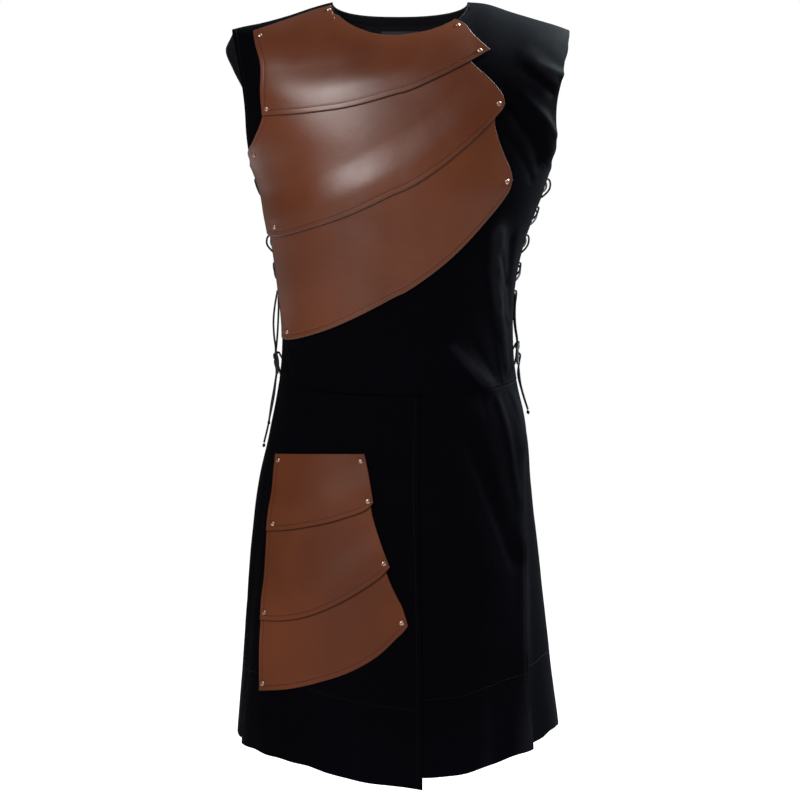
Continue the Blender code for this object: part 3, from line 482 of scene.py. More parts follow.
def either(columns, first, names, at, along="height"):
    """A table's first named column where first is true, and its second elsewhere."""
    return np.where(first, *(reading(columns, name, at, along) for name in names))


def half_width(across, height):
    """Half the worn cloth's width on the side where across lies."""
    return either(SECTIONS, across > 0, ("left", "right"), height)


def depth_at(forward, height):
    """The worn cloth's depth to the front or the back, where forward lies."""
    return either(SECTIONS, forward > 0, ("front", "back"), height)


def shoulder_height(across):
    """The shoulder seam's height at a distance out to either side."""
    return either(SHOULDERS, across > 0, ("left", "right"), np.abs(across), "out")


def relief(around, height, fine=False):
    """Height of the folds off the plain section, as the sum of rounded ridges and troughs,
    each rise * exp(-(distance / width)^2) from its own line."""
    total = np.zeros(np.broadcast(around, height).shape)
    folds = np.concatenate([FOLDS, CREASES, PUCKERS]) if fine else FOLDS
    for start, top, end, foot, width, rise, to_rise in folds:
        across = GIRTH_RADIUS * ((around - start + pi) % (2 * pi) - pi)
        along, down, drop = GIRTH_RADIUS * (end - start), foot - top, height - top
        share = np.clip((across * along + drop * down) / (along**2 + down**2), 0, 1)
        distance = np.hypot(across - share * along, drop - share * down)
        total += (rise + (to_rise - rise) * share) * mound(distance, width)
    return total + wobble(around, height) if fine else total


def wobble(around, height):
    """Slight unevenness of worn cloth: long crossing waves, each size * sin(across + down)."""
    return sum(size * np.sin(across * GIRTH_RADIUS * around + down * height + start)
               for size, across, down, start in WAVES)


def ring(around, height, fine=False):
    """Outer cloth point: a rounded-square section, drawn in over the shoulders like a dome.

    across = half width * sin^(2/n), forward = depth * cos^(2/n), and near the shoulder seam
    the depth shrinks with (1 - (1 - t)^2)^(1/ridge), where t is the drop below the seam: a
    crisp ridge at the neck, rounder at the shoulder's tip.
    """
    around, height = np.broadcast_arrays(np.asarray(around, float), np.asarray(height, float))
    sine, cosine = np.sin(around), np.cos(around)
    half, depth = half_width(sine, height), depth_at(cosine, height)
    x = half * np.sign(sine) * np.abs(sine) ** (2 / SQUARENESS)
    y = depth * np.abs(cosine) ** (2 / SQUARENESS)
    outer = ease(NECK_HALF, SECTIONS["left"][-1], np.abs(x))
    reach = ROLL_AT_NECK + (ROLL_AT_TIP - ROLL_AT_NECK) * outer
    below = np.clip((shoulder_height(x) - height) / reach, 0, 1)
    ridge = RIDGE_AT_NECK + (RIDGE_AT_TIP - RIDGE_AT_NECK) * outer
    y = y * dome(below, ridge)
    slope_x = np.sign(sine) * np.abs(sine) ** (2 - 2 / SQUARENESS) / half
    slope_y = np.abs(cosine) ** (2 - 2 / SQUARENESS) / depth
    rise = relief(around, height, fine) * ease(0, FOLDS_FROM, below) / np.hypot(slope_x, slope_y)
    y = y + rise * slope_y + (-SEAM_LAP if fine else SEAM_GAP / 2) * (height > WAIST_SIDE)
    return np.stack([x + rise * slope_x, -np.sign(cosine) * y, height], axis=-1)


def outward(around, height, fine=False):
    """Unit normal of the cloth, from two short steps along the surface."""
    step = 1e-4
    across = ring(around + step, height, fine) - ring(around - step, height, fine)
    up = ring(around, height, fine) - ring(around, height - step, fine)
    return unit(np.cross(across, up))


def angle_at(across, height):
    """Angle round the front for a distance across, the inverse of ring's x."""
    share = np.clip(np.abs(across) / half_width(across, height), 0, 1)
    return np.sign(across) * np.arcsin(share ** (SQUARENESS / 2))


def angle_by_side(distance, height, face):
    """Angle from a panel's centre of a place at a distance from the side line."""
    return np.arccos((distance / reading(SECTIONS, face, height)) ** (SQUARENESS / 2))


def lace_puckers():
    """Short troughs from every lace hole into its panel, fading with their length."""
    made = []
    for face, side, pair in product(("front", "back"), (-1, 1), range(EYELET_PAIRS)):
        height = EYELET_TOP - pair * EYELET_STEP
        hole = angle_by_side(EYELET_FROM_SIDE, height, face)
        ends = [hole, hole - PULLS[pair] / GIRTH_RADIUS]
        if face == "back":
            ends = [pi - end for end in ends]
        made.append((side * ends[0], height, side * ends[1],
                     height + PULL_DROPS[pair % len(PULL_DROPS)], *PULL_SHAPE))
    return np.array(made)


PUCKERS = lace_puckers()


def edge_angle(side, height, face):
    """Angle of a bodice panel's edge from its own centre: the lacing edge, then the armhole."""
    out = reading(ARMHOLES, face + ("_left" if side > 0 else "_right"), height)
    lacing = angle_by_side(LACE_GAP_HALF, height, face)
    armhole = np.minimum(np.abs(angle_at(side * out, height)), lacing)
    return np.where(height > UNDERARM, armhole, lacing)


def waist_height(around):
    """The waist seam, lower at the front and back: side height - dip * |cos|^1.5."""
    cosine = np.cos(around)
    dip = np.where(cosine > 0, WAIST_DIP_FRONT, WAIST_DIP_BACK)
    return WAIST_SIDE - dip * np.abs(cosine) ** 1.5


def top_height(across, drop):
    """Top edge of a bodice panel: half an ellipse at the neck, then the shoulder seam."""
    neck = -drop * np.sqrt(np.clip(1 - (across / NECK_HALF) ** 2, 0, 1))
    return np.where(np.abs(across) < NECK_HALF, neck, shoulder_height(across))


def neck_across(share):
    """Distances across the neck for shares from -1 to 1, evenly spaced along its edge, which
    turns down fast at the neck points: across = half * sqrt(1 - cos^4)."""
    return NECK_HALF * np.sign(share) * np.sqrt(1 - np.cos(pi / 2 * share) ** 4)


def over_lift(around, height):
    """The top skirt layer stands off by the lower layer's thickness where they overlap."""
    across = ring(around, height)[..., 0]
    return (CLOTH + LAYER_GAP) * ease(OVER_FROM, OVER_TO, across)


def back_tuck(around, height):
    """The back skirt panel lies one layer in where the front panels cover its edges."""
    return -SKIRT_TUCK * ease(TUCK_FROM, TUCK_TO, np.abs(around - pi + 0 * height))


def lines(count, length, near):
    """Shares from 0 to 1 with extra lines at the given distances from both ends."""
    close = near / length
    spread = np.linspace(0, 1, count + 1)
    least = close[-1] * SPREAD_FROM
    spread = spread[(spread > least) & (spread < 1 - least)]
    return np.concatenate([[0], close, spread, 1 - close[::-1], [1]])


def grid_quads(rows, columns, wrap=False):
    """Faces of a grid of points, joined round its columns where wrap is set."""
    index = np.arange(rows * columns).reshape(rows, columns)
    if wrap:
        index = np.hstack([index, index[:, :1]])
    corners = [index[:-1, :-1], index[:-1, 1:], index[1:, 1:], index[1:, :-1]]
    return np.stack(corners, axis=-1).reshape(-1, 4)


def copies(quads, size, count):
    """The faces of one shape of that many points, repeated for a count of shapes."""
    return (quads + size * np.arange(count)[:, None, None]).reshape(-1, 4)


def joined(parts):
    """Several (points, faces) pairs as one pair."""
    counts = np.cumsum([0] + [len(points) for points, _ in parts[:-1]])
    faces = [quads + count for (_, quads), count in zip(parts, counts)]
    return np.concatenate([points for points, _ in parts]), np.concatenate(faces)


def lengths_along(points, axis=0):
    """Distance along a path, or along a grid's lines from its first row or column."""
    steps = np.linalg.norm(np.diff(points, axis=axis), axis=-1)
    start = np.zeros_like(np.take(steps, [0], axis=axis))
    return np.concatenate([start, np.cumsum(steps, axis=axis)], axis=axis)


def spokes(first, second, sides):
    """Directions all round each axis: cos * first + sin * second, both square to it."""
    return np.cos(turns(sides)) * first[:, None] + np.sin(turns(sides)) * second[:, None]


def spokes_about(normal, sides):
    """Directions all round each normal, evenly spaced."""
    first = unit(np.cross(normal, (0.0, 0.0, 1.0)))
    return spokes(first, np.cross(normal, first), sides)


def placed(name, data):
    """A new object at the origin that holds a mesh, a lamp or a camera."""
    made = bpy.data.objects.new(name, data)
    bpy.context.scene.collection.objects.link(made)
    return made


def piece(name, points, quads, finish, slot, uv=None, **marks):
    """A shown piece from arrays: its points, its faces and a number at each point per mark."""
    mesh = bpy.data.meshes.new(name)
    mesh.vertices.add(len(points))
    mesh.vertices.foreach_set("co", np.asarray(points, dtype=np.float32).ravel())
    mesh.loops.add(quads.size)
    mesh.loops.foreach_set("vertex_index", np.asarray(quads, dtype=np.int32).ravel())
    mesh.polygons.add(len(quads))
    mesh.polygons.foreach_set("loop_start", np.arange(0, quads.size, 4, dtype=np.int32))
    mesh.update(calc_edges=True)
    if uv is not None:
        corner = np.asarray(uv, dtype=np.float32)[quads]
        turn = corner[..., 0]
        turn += (np.ptp(turn, axis=1, keepdims=True) > 0.5) * (turn < 0.5)
        mesh.uv_layers.new(name="cloth").data.foreach_set("uv", corner.ravel())
    for mark, values in marks.items():
        attribute = mesh.attributes.new(mark, "FLOAT", "POINT")
        attribute.data.foreach_set("value", np.asarray(values, dtype=np.float32).ravel())
    mesh.shade_smooth()
    mesh.materials.append(finish)
    made = placed(name, mesh)
    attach(made, "root")
    return made


def shell(name, around, height, inside, outside, look, at_waist=False, fine=True, turned=0.0,
          groove=False, hem=False):
    """A panel with both faces and rounded edges, as one closed skin.

    Both faces are the panel's grid moved out along the cloth's normal, by mid +- half * f,
    where f = sqrt(1 - (1 - d)^2) and d is the distance from the nearest edge over the half
    thickness, so that they meet in a round edge. Turned edges thicken the inside by a step,
    and a row of stitches presses a shallow groove into the outside.
    """
    base, normal = ring(around, height, fine), outward(around, height, fine)
    if at_waist:
        normal[0, :, 2] = 0
    on_shoulder = (np.abs(base[..., 1]) < SEAM_GAP) & (height > UNDERARM)
    normal[on_shoulder, 1] = 0
    normal = unit(normal)
    down, along = lengths_along(base, 0), lengths_along(base, 1)
    edges = np.stack([down, down[-1] - down, along, along[:, -1:] - along])
    nearest, from_foot = edges.min(axis=0), edges[1:3].min(axis=0)
    folded = 1 - ease(TURNED_WIDTH - TURNED_SOFT, TURNED_WIDTH + TURNED_SOFT, nearest)
    inside = inside - turned * folded
    outside = outside + 0 * nearest
    if groove:
        from_line = (nearest if turned else from_foot) - STITCH_FROM_EDGE
        outside = outside - GROOVE_DEPTH * mound(from_line, GROOVE_WIDTH)
    if hem:
        from_line = edges[1] - HEM_FROM_EDGE
        outside = outside - HEM_DEPTH * mound(from_line, HEM_WIDTH)
        inside = inside - turned * (1 - ease(0, HEM_SOFT, from_line))
    middle, half = (inside + outside) / 2, (outside - inside) / 2
    half = half * dome(nearest / half)
    faces = [base + (middle + way * half)[..., None] * normal for way in (1, -1)]
    rows, columns = nearest.shape
    outer = grid_quads(rows, columns)
    cell = faces[0].reshape(-1, 3)[outer[len(outer) // 2]]
    if np.cross(cell[1] - cell[0], cell[3] - cell[0]) @ normal[rows // 2, columns // 2] < 0:
        outer = outer[:, ::-1]
    index = np.arange(rows * columns).reshape(rows, columns)
    index[1:-1, 1:-1] += rows * columns
    quads = np.concatenate([outer, index.ravel()[outer[:, ::-1]]])
    used, quads = np.unique(quads, return_inverse=True)
    points = np.concatenate([face.reshape(-1, 3) for face in faces])[used]
    uv = np.stack([along - along[:, columns // 2, None], down], axis=-1).reshape(-1, 2)
    marks = {"from_edge": nearest, "from_foot": from_foot, "crest": relief(around, height, fine)}
    marks = {mark: np.tile(values.ravel(), 2)[used] for mark, values in marks.items()}
    marks["inside"] = np.repeat([0.0, 1.0], rows * columns)[used]
    return piece(name, points, quads.reshape(-1, 4), *look, uv=np.concatenate([uv, uv])[used],
                 **marks)


def inset_line(grids, edge, distance, skip, fine):
    """The line that runs a distance inside one edge of a panel's grid: its angles, heights and
    lifts off the cloth.

    edge is first_row, last_row, first_column or last_column. Along every grid line that leaves
    the edge, the place where its length passes the distance is read between two points.
    """
    if edge.endswith("column"):
        grids = [grid.T for grid in grids]
    if edge.startswith("last"):
        grids = [grid[::-1] for grid in grids]
    length = lengths_along(ring(*grids[:2], fine))
    after = np.argmax(length >= distance, axis=0)[None]
    before = np.maximum(after - 1, 0)

    def at(values, place):
        return np.take_along_axis(values, place, axis=0)[0]

    share = (distance - at(length, before)) / (at(length, after) - at(length, before))
    line = [at(grid, before) + share * (at(grid, after) - at(grid, before)) for grid in grids]
    run = lengths_along(ring(*line[:2], fine))
    keep = (run > skip) & (run < run[-1] - skip)
    return [values[keep] for values in line]


def seam(around, height, lift, *edges, distance=STITCH_FROM_EDGE, skip=0.004, fine=True,
         **sizes):
    """A row of sewn stitches inside each of the named edges of a panel."""
    grids = np.broadcast_arrays(around, height, lift)
    return [stitches(*inset_line(grids, edge, distance, skip, fine), fine, **sizes)
            for edge in edges]


def stitches(around, height, lift, fine, pitch=0.0032, length=0.0024, radius=0.00030):
    """A row of sewn stitches along a line on the cloth.

    Each stitch is a spindle: across its length its radius follows a short table, and its ends
    dip into the cloth. All of them are worked out at once, from their centres' frames.
    """
    normals = outward(around, height, fine)
    points = ring(around, height, fine) + lift[:, None] * normals
    run = lengths_along(points)
    centres = np.arange(pitch / 2, run[-1] - pitch / 2, pitch)

    def read(values, place):
        return np.stack([np.interp(place, run, column) for column in values.T], axis=-1)

    along = unit(read(points, centres + length / 2) - read(points, centres - length / 2))
    up = read(normals, centres)
    place, swell, dip = np.array(STITCH_PROFILE).T[:, :, None]
    middle = read(points, centres)[:, None] + length * place * along[:, None]
    middle = middle + radius * dip * up[:, None]
    ways = spokes(unit(np.cross(up, along)), up, STITCH_SIDES)
    rings = middle[:, :, None] + radius * swell[..., None] * ways[:, None]
    one = grid_quads(len(place), STITCH_SIDES, wrap=True)
    return rings.reshape(-1, 3), copies(one, len(place) * STITCH_SIDES, len(centres))


def tube(path, radius, sides=12, tips=True):
    """A round cord along a path, as points, faces and UV (share round it, metres along it).

    Its rings stand square to the path on frames that turn as little as they can, and both
    ends are drawn in to a small round tip.
    """
    ahead = unit(np.gradient(path, axis=0))
    start = np.cross(ahead[0], (0.0, 0.0, 1.0) if abs(ahead[0][2]) < 0.9 else (0.0, 1.0, 0.0))
    frames = [unit(start)]
    for step in ahead[1:]:
        frames.append(unit(frames[-1] - step * (frames[-1] @ step)))
    first = np.array(frames)
    run = lengths_along(path)
    size = np.full(len(path), radius)
    if tips:
        size = radius * dome(np.minimum(run, run[-1] - run) / radius + 0.02)
    ways = spokes(first, np.cross(ahead, first), sides)
    points = path[:, None] + size[:, None, None] * ways
    uv = np.stack(np.broadcast_arrays(np.arange(sides) / sides, run[:, None]), axis=-1)
    return points.reshape(-1, 3), grid_quads(len(path), sides, wrap=True), uv.reshape(-1, 2)


def turned(profile, radius, height, spots, fine=False, way=1, sides=28):
    """Round shapes turned from a profile, one on every spot (around, height, lift)."""
    out, up = np.array(profile).T[:, :, None, None]
    around, level, lift = spots.T
    normal = way * outward(around, level, fine)
    place = ring(around, level, fine) + way * lift[:, None] * normal
    points = place[:, None, None] + radius * out * spokes_about(normal, sides)[:, None]
    points = points + height * up * normal[:, None, None]
    one = grid_quads(len(out), sides, wrap=True)
    return points.reshape(-1, 3), copies(one, len(out) * sides, len(spots))


class Look:
    """The nodes of a material or of the daylight, as outputs that others join to."""

    def __init__(self, owner):
        owner.use_nodes = True
        self.owner, self.tree = owner, owner.node_tree

    def fill(self, node, inputs):
        """Sets each input to a number or a colour, or joins it to another node's output."""
        for name, value in inputs.items():
            if isinstance(value, bpy.types.NodeSocket):
                self.tree.links.new(value, node.inputs[name])
            else:
                node.inputs[name].default_value = value

    def add(self, kind, inputs=None, out=0, **settings):
        """One output of a new node with these inputs and settings."""
        made = self.tree.nodes.new("ShaderNode" + kind)
        for name, value in settings.items():
            setattr(made, name, value)
        self.fill(made, inputs or {})
        return made.outputs[out]

    def calc(self, operation, *values):
        return self.add("Math", dict(enumerate(values)), operation=operation)

    def times(self, first, second):
        return self.calc("MULTIPLY", first, second)

    def crossing(self, first, second):
        """Height of strands that rise by turns: sin * sin, from 0 to 1."""
        waves = self.times(self.calc("SINE", first), self.calc("SINE", second))
        return self.calc("MULTIPLY_ADD", waves, 0.5, 0.5)

    def noise(self, scale, detail=2.0, roughness=0.5, place=None):
        """Cloudy unevenness, on the piece itself where no other place is given."""
        place = self.place if place is None else place
        return self.add("TexNoise", {"Vector": place, "Scale": scale, "Detail": detail,
                                     "Roughness": roughness})

    def span(self, value, low, high, to_low=0.0, to_high=1.0):
        """A value eased from one span to another."""
        return self.add("MapRange", {"Value": value, "From Min": low, "From Max": high,
                                     "To Min": to_low, "To Max": to_high},
                        interpolation_type="SMOOTHSTEP")

    def mark(self, name):
        """The number that a piece holds at each point under this name."""
        return self.add("Attribute", out="Fac", attribute_name=name)

    def coats(self, colour, *coats):
        """A ground colour with more coats over it, each covering by its own share."""
        ground = (*colour, 1.0)
        for share, over in coats:
            ground = self.add("Mix", {0: share, 6: ground, 7: (*over, 1.0)}, 2, data_type="RGBA")
        return ground

    def raised(self, *layers):
        """Fine relief, from (height, strength, distance) layers one over the other."""
        normal = {}
        for height, strength, distance in layers:
            made = self.add("Bump", {"Height": height, "Strength": strength,
                                     "Distance": distance, **normal})
            normal = {"Normal": made}
        return made

    def finish(self, **inputs):
        """The material, once the shader's own inputs are set or joined."""
        inputs = {name.replace("_", " "): value for name, value in inputs.items()}
        self.fill(self.tree.nodes["Principled BSDF"], inputs)
        return self.owner


def new_look(name):
    """A new material, with the place on the piece and its UV for the patterns to read."""
    look = Look(bpy.data.materials.new(name))
    look.place = look.add("TexCoord", out="Object")
    flat = look.add("UVMap", uv_map="cloth")
    look.u, look.v = (look.add("SeparateXYZ", {"Vector": flat}, axis) for axis in "XY")
    return look


def woven_black():
    """Matt black plain-woven cotton: uneven threads, faint crumpling, fold crests painted pale as a
    painted sheen.
    """
    look = new_look("woven_black_cloth")
    turns = 2 * pi / WEAVE_PITCH
    weave = look.crossing(look.times(look.u, turns), look.times(look.v, turns))
    stretched = {"X": look.times(look.u, 90.0), "Y": look.times(look.v, 1100.0)}
    slubs = look.noise(1.0, place=look.add("CombineXYZ", stretched))
    mottle = look.noise(9.0, 4.0, 0.55)
    lint = look.span(look.noise(420.0, 3.0, 0.7), 0.70, 0.82)
    # Painted sheen: the fold crests are painted paler, standing in for light catching them
    crest_sheen = look.times(look.span(look.mark("crest"), 0.0008, 0.0042),
                        look.span(mottle, 0.30, 0.60))
    edge = look.span(look.mark("from_edge"), 0.0014, 0.0002)
    base = look.coats(
        CLOTH_DARK, (look.span(mottle, 0.35, 0.68), CLOTH_LIGHT),
        (look.times(weave, 0.35), CLOTH_LIGHT), (look.times(lint, 0.25), LINT),
        (look.times(crest_sheen, 0.75), CLOTH_WEAR_AND_SHEEN),
        (look.times(look.mark("inside"), 0.9), CLOTH_INSIDE), (look.times(edge, 0.05), CLOTH_WEAR_AND_SHEEN))
    rough = look.span(look.calc("MULTIPLY_ADD", slubs, 0.4, mottle), 0.4, 1.0, 0.68, 0.90)
    normal = look.raised((look.noise(34.0, 5.0, 0.55), 0.35, 0.0016), (slubs, 0.30, 0.00025),
                         (weave, 0.35, 0.00022))
    return look.finish(Base_Color=base, Roughness=rough, Normal=normal, Specular_IOR_Level=0.012,
                       Sheen_Weight=0.0015, Sheen_Roughness=0.35, Sheen_Tint=(0.72, 0.82, 1.0, 1.0))


def brown_leather(name, smoothness, shine):
    """Smooth dressed hide: clouded dye, fine pores, dark cut edges that also carry a painted shadow
    line, and a pressed stitch line.
    """
    look = new_look(name)
    clouds, streaks = look.noise(6.5, 4.0, 0.5), look.noise(28.0, 5.0, 0.6)
    grain = look.add("TexVoronoi", {"Vector": look.place, "Scale": 720.0})
    pores = look.noise(1500.0, 3.0, 0.6)
    line = look.calc("ABSOLUTE", look.calc("SUBTRACT", look.mark("from_foot"), STITCH_FROM_EDGE))
    # The cut edges are darkened partly for their own dark dye and partly as a painted shadow line
    # along each plate's edge
    cut = look.span(look.mark("from_edge"), 0.0011, 0.0004, 0.0, 0.85)
    dye = look.coats(LEATHER_DARK, (look.span(clouds, 0.33, 0.68), LEATHER_LIGHT),
                     (look.span(streaks, 0.30, 0.85, 0.0, 0.32), LEATHER_RED),
                     (look.span(line, 0.0008, 0.0001, 0.0, 0.60), LEATHER_EDGE_AND_SHADOW),
                     (cut, LEATHER_EDGE_AND_SHADOW))
    rough = look.calc("MULTIPLY_ADD", streaks, 0.16, 1 - smoothness)
    rough = look.calc("MULTIPLY_ADD", cut, 0.55, rough)
    normal = look.raised((streaks, 0.18, 0.0012), (grain, 0.16, 0.00030), (pores, 0.10, 0.00020))
    return look.finish(Base_Color=dye, Roughness=rough, Normal=normal, Specular_IOR_Level=shine)


def rivet_copper():
    """Burnished copper-coloured metal with fine scratches and darker, duller patches."""
    look = new_look("rivet_copper")
    tarnish = look.noise(260.0, 4.0, 0.6)
    drawn_out = look.add("Mapping", {"Vector": look.place, "Scale": (900, 240, 2400)})
    base = look.coats(COPPER_DARK, (look.span(tarnish, 0.42, 0.66), COPPER_BRIGHT))
    normal = look.raised((look.noise(1.0, 3.0, place=drawn_out), 0.12, 0.0001))
    return look.finish(Base_Color=base, Roughness=look.span(tarnish, 0.3, 0.7, 0.48, 0.36),
                       Normal=normal, Metallic=1.0)


def braided_fibre():
    """Round braided cord: two sets of crossing strands wound opposite ways about it."""
    look = new_look("braided_black_lace")
    wind, run = look.times(look.u, 2 * pi * 4), look.times(look.v, 2 * pi / BRAID_PITCH)
    braid = look.crossing(look.calc("ADD", wind, run), look.calc("SUBTRACT", wind, run))
    fuzz = look.noise(1600.0)
    return look.finish(Base_Color=look.coats(FIBRE_DARK, (braid, FIBRE_LIGHT)),
                       Roughness=look.span(fuzz, 0.3, 0.7, 0.62, 0.82),
                       Normal=look.raised((fuzz, 0.25, 0.0001), (braid, 0.60, 0.00045)),
                       Specular_IOR_Level=0.12, Sheen_Weight=0.01, Sheen_Roughness=0.4)


def twisted_thread(name, dark, light):
    """Sewing thread: fine slanting plies along each stitch."""
    look = new_look(name)
    plies = look.add("TexWave", {"Vector": look.place, "Scale": 900.0, "Distortion": 1.5}, "Fac",
                     bands_direction="DIAGONAL")
    return look.finish(Base_Color=look.coats(dark, (plies, light)),
                       Roughness=look.span(plies, 0.0, 1.0, 0.60, 0.45),
                       Normal=look.raised((plies, 0.4, 0.0001)),
                       Specular_IOR_Level=0.06, Sheen_Weight=0.01)


def label_satin():
    """Plain woven satin ribbon: close threads across it, with no lettering."""
    look = new_look("plain_label_satin")
    floats = look.calc("SINE", look.times(look.v, 2 * pi / SATIN_PITCH))
    floats = look.calc("MULTIPLY_ADD", floats, 0.5, 0.5)
    shade = look.noise(120.0, 3.0)
    return look.finish(Base_Color=look.coats(SATIN_DARK, (look.span(shade, 0.3, 0.7), SATIN_LIGHT)),
                       Roughness=look.span(shade, 0.3, 0.7, 0.36, 0.50),
                       Normal=look.raised((floats, 0.3, 0.0001)),
                       Specular_IOR_Level=0.4, Anisotropic=0.5)


def pale_floor():
    """A white floor that glows a little, and more with the distance behind the vest."""
    look = new_look("pale_floor")
    behind = look.add("SeparateXYZ", {"Vector": look.place}, "Y")
    return look.finish(Base_Color=look.coats(FLOOR_DARK, (look.noise(1.5), FLOOR_LIGHT)),
                       Emission_Strength=look.span(behind, 0.8, 2.0, 0.55, 0.97),
                       Roughness=0.8, Emission_Color=(*WHITE, 1.0))


def curve(points):
    """A smooth curve through points, read at shares of its length between 0 and 1."""
    points = np.array(points, dtype=float)
    knots = lengths_along(points * (GIRTH_RADIUS, 1))
    return lambda share: smooth(knots / knots[-1], points, np.asarray(share))


def inside_edge(around, height):
    """Keeps leather inside the armhole's edge, and forward of the lace holes."""
    armhole = edge_angle(-1, height, "front") - PLATE_MARGIN / GIRTH_RADIUS
    holes = angle_by_side(PLATE_FROM_SIDE, height, "front")
    return np.maximum(around, -np.minimum(armhole, holes))


def outline(points, chest):
    """Plate outline points, from millimetres seen from the front to angles and heights."""
    across, height = np.array(points).T / 1000
    around = angle_at(across, height)
    if chest:
        around = inside_edge(around, height)
    return np.stack([around, height], axis=1)


def foot_of(plate):
    """A plate's foot with both its ends."""
    return (plate.left[-1], *plate.foot, plate.right[-1])


def upper_edge(plates, index):
    """The top plate follows the neck and shoulder; the others run up under the one above."""
    plate = plates[index]
    if index:
        hidden = [(x, z + PLATE_OVERLAP * 1000) for x, z in foot_of(plates[index - 1])[:-1]]
        return curve(outline(hidden, plates is CHEST_PLATES))
    if plates is THIGH_PLATES:
        return curve(outline((plate.left[0], plate.right[0]), False))
    start, end = plate.left[0][0] / 1000, plate.right[0][0] / 1000

    def along_neck(share):
        across = start + (end - start) * share
        to_tip = np.clip((np.abs(across) - NECK_HALF) / (abs(start) - NECK_HALF), 0, 1)
        on_shoulder = SHOULDER_RIM + (SHOULDER_RIM_TIP - SHOULDER_RIM) * to_tip**2
        to_left = ease(NECK_RIM_FROM, NECK_RIM_TO, across)
        on_neck = NECK_RIM + (NECK_RIM_LEFT - NECK_RIM) * to_left
        rim = on_neck + (on_shoulder - on_neck) * ease(RIM_TURN, NECK_HALF, np.abs(across))
        height = top_height(across, NECK_DROP_FRONT) - rim
        return np.stack([angle_at(across, height), height], axis=-1)

    return along_neck


def plate_patch(plates, index, u, v):
    """Point of a plate's outline patch: the sum of the ruled surfaces between its opposite
    edges, less the corners' own blend."""
    chest = plates is CHEST_PLATES
    plate = plates[index]
    upper, lower = upper_edge(plates, index), curve(outline(foot_of(plate), chest))
    ends = upper(np.array([0.0, 1.0]))
    sides = [outline(plate.left, chest), outline(plate.right, chest)]
    for points, end in zip(sides, ends):
        points[0] = end
    left, right = (curve(points) for points in sides)
    a, b = u[..., None], v[..., None]
    ruled = (1 - b) * upper(u) + b * lower(u) + (1 - a) * left(v) + a * right(v)
    corners = (1 - b) * ((1 - a) * ends[0] + a * ends[1])
    corners = corners + b * ((1 - a) * sides[0][-1] + a * sides[1][-1])
    around, height = np.moveaxis(ruled - corners, -1, 0)
    return (inside_edge(around, height) if chest else around), height


def plate_lift(plates, index, u, v):
    """Lift of a plate's inner face: on the panel, and over the next plate along its foot,
    with a shallow dimple pressed in about each rivet."""
    lift = LAYER_GAP + 0 * u
    here = plate_patch(plates, index, u, v)

    def distance_to(place):
        return np.hypot(GIRTH_RADIUS * (here[0] - place[0]), here[1] - place[1])

    if index < len(plates) - 1:
        from_foot = distance_to(plate_patch(plates, index, u, np.ones_like(v)))
        lift = lift + (LEATHER + LAYER_GAP) * (1 - ease(PLATE_LEVEL, PLATE_REST, from_foot))
    if plates is THIGH_PLATES:
        lift = lift + over_lift(*here)
    for spot in plates[index].rivets:
        away = distance_to(plate_patch(plates, index, *np.array(spot)[:, None, None]))
        lift = lift - DIMPLE_DEPTH * mound(away, DIMPLE_RADIUS)
    return lift


def plate_columns(plates, index, count):
    """Shares across a plate, with a line at the neck point on the top one."""
    if plates is THIGH_PLATES or index:
        return lines(count, PLATE_WIDE, NEAR_EDGE)
    start, end = plates[0].left[0][0] / 1000, plates[0].right[0][0] / 1000
    on_shoulder = np.linspace(start, -NECK_HALF, count // 3 + 1)[1:-1]
    last = np.arccos((1 - (end / NECK_HALF) ** 2) ** 0.25) * 2 / pi
    on_neck = neck_across(np.linspace(-1, last, count - count // 3 + 1))
    across = np.concatenate([on_shoulder, on_neck])
    least = NEAR_EDGE[-1] * SPREAD_FROM
    across = across[(across > start + least) & (across < end - least)]
    across = np.concatenate([[start], start + NEAR_EDGE, across, end - NEAR_EDGE[::-1], [end]])
    across = across[np.concatenate([[True], np.diff(across) > COLUMN_LEAST])]
    return (across - start) / (end - start)


def make_plates(chest_leather, thigh_leather, thread, metal):
    """Six leather plates, their stitch rows and their rivets, in two groups."""
    groups = ((CHEST_PLATES, "chest", 110, 70, chest_leather),
              (THIGH_PLATES, "thigh", 56, 46, thigh_leather))
    for plates, group, count, rows, leather in groups:
        spots = []
        for index, plate in enumerate(plates):
            name = f"{group}_plate_{index + 1}"
            v = lines(rows, PLATE_TALL, NEAR_EDGE)[:, None]
            u, v = np.broadcast_arrays(plate_columns(plates, index, count), v)
            around, height = plate_patch(plates, index, u, v)
            lift = plate_lift(plates, index, u, v)
            hide = shell(f"{name}_leather", around, height, lift, lift + LEATHER,
                         (leather, "brown_leather"), fine=False, groove=True)
            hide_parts(name)
            sewn = seam(around, height, lift + LEATHER - GROOVE_DEPTH, "first_column", "last_row",
                        skip=STITCH_FROM_EDGE, fine=False)
            piece(f"{name}_stitches", *joined(sewn), thread, "brown_leather")
            for rivet in plate.rivets:
                spot = np.array(rivet)[:, None, None]
                place = plate_patch(plates, index, *spot)
                spots.append((*place, plate_lift(plates, index, *spot) + LEATHER))
        spots = np.reshape(spots, (-1, 3))
        caps = make_rivets(f"{group}_rivets", spots, metal)
        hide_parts(*(f"{group}_rivet_{number:02d}" for number in range(1, len(spots) + 1)))


def make_rivets(name, spots, metal):
    """Domed caps on the leather, with the small burrs that hold them inside the cloth."""
    inner = spots.copy()
    inner[:, 2] = -CLOTH - TURNED_STEP
    if name.startswith("thigh"):
        inner[:, 2] += over_lift(*inner.T[:2])
    caps = turned(RIVET_PROFILE, RIVET_RADIUS, RIVET_HEIGHT, spots)
    burrs = turned(BURR_PROFILE, BURR_RADIUS, BURR_HEIGHT, inner, way=-1)
    return piece(name, *joined([caps, burrs]), metal, "rivet_metal")


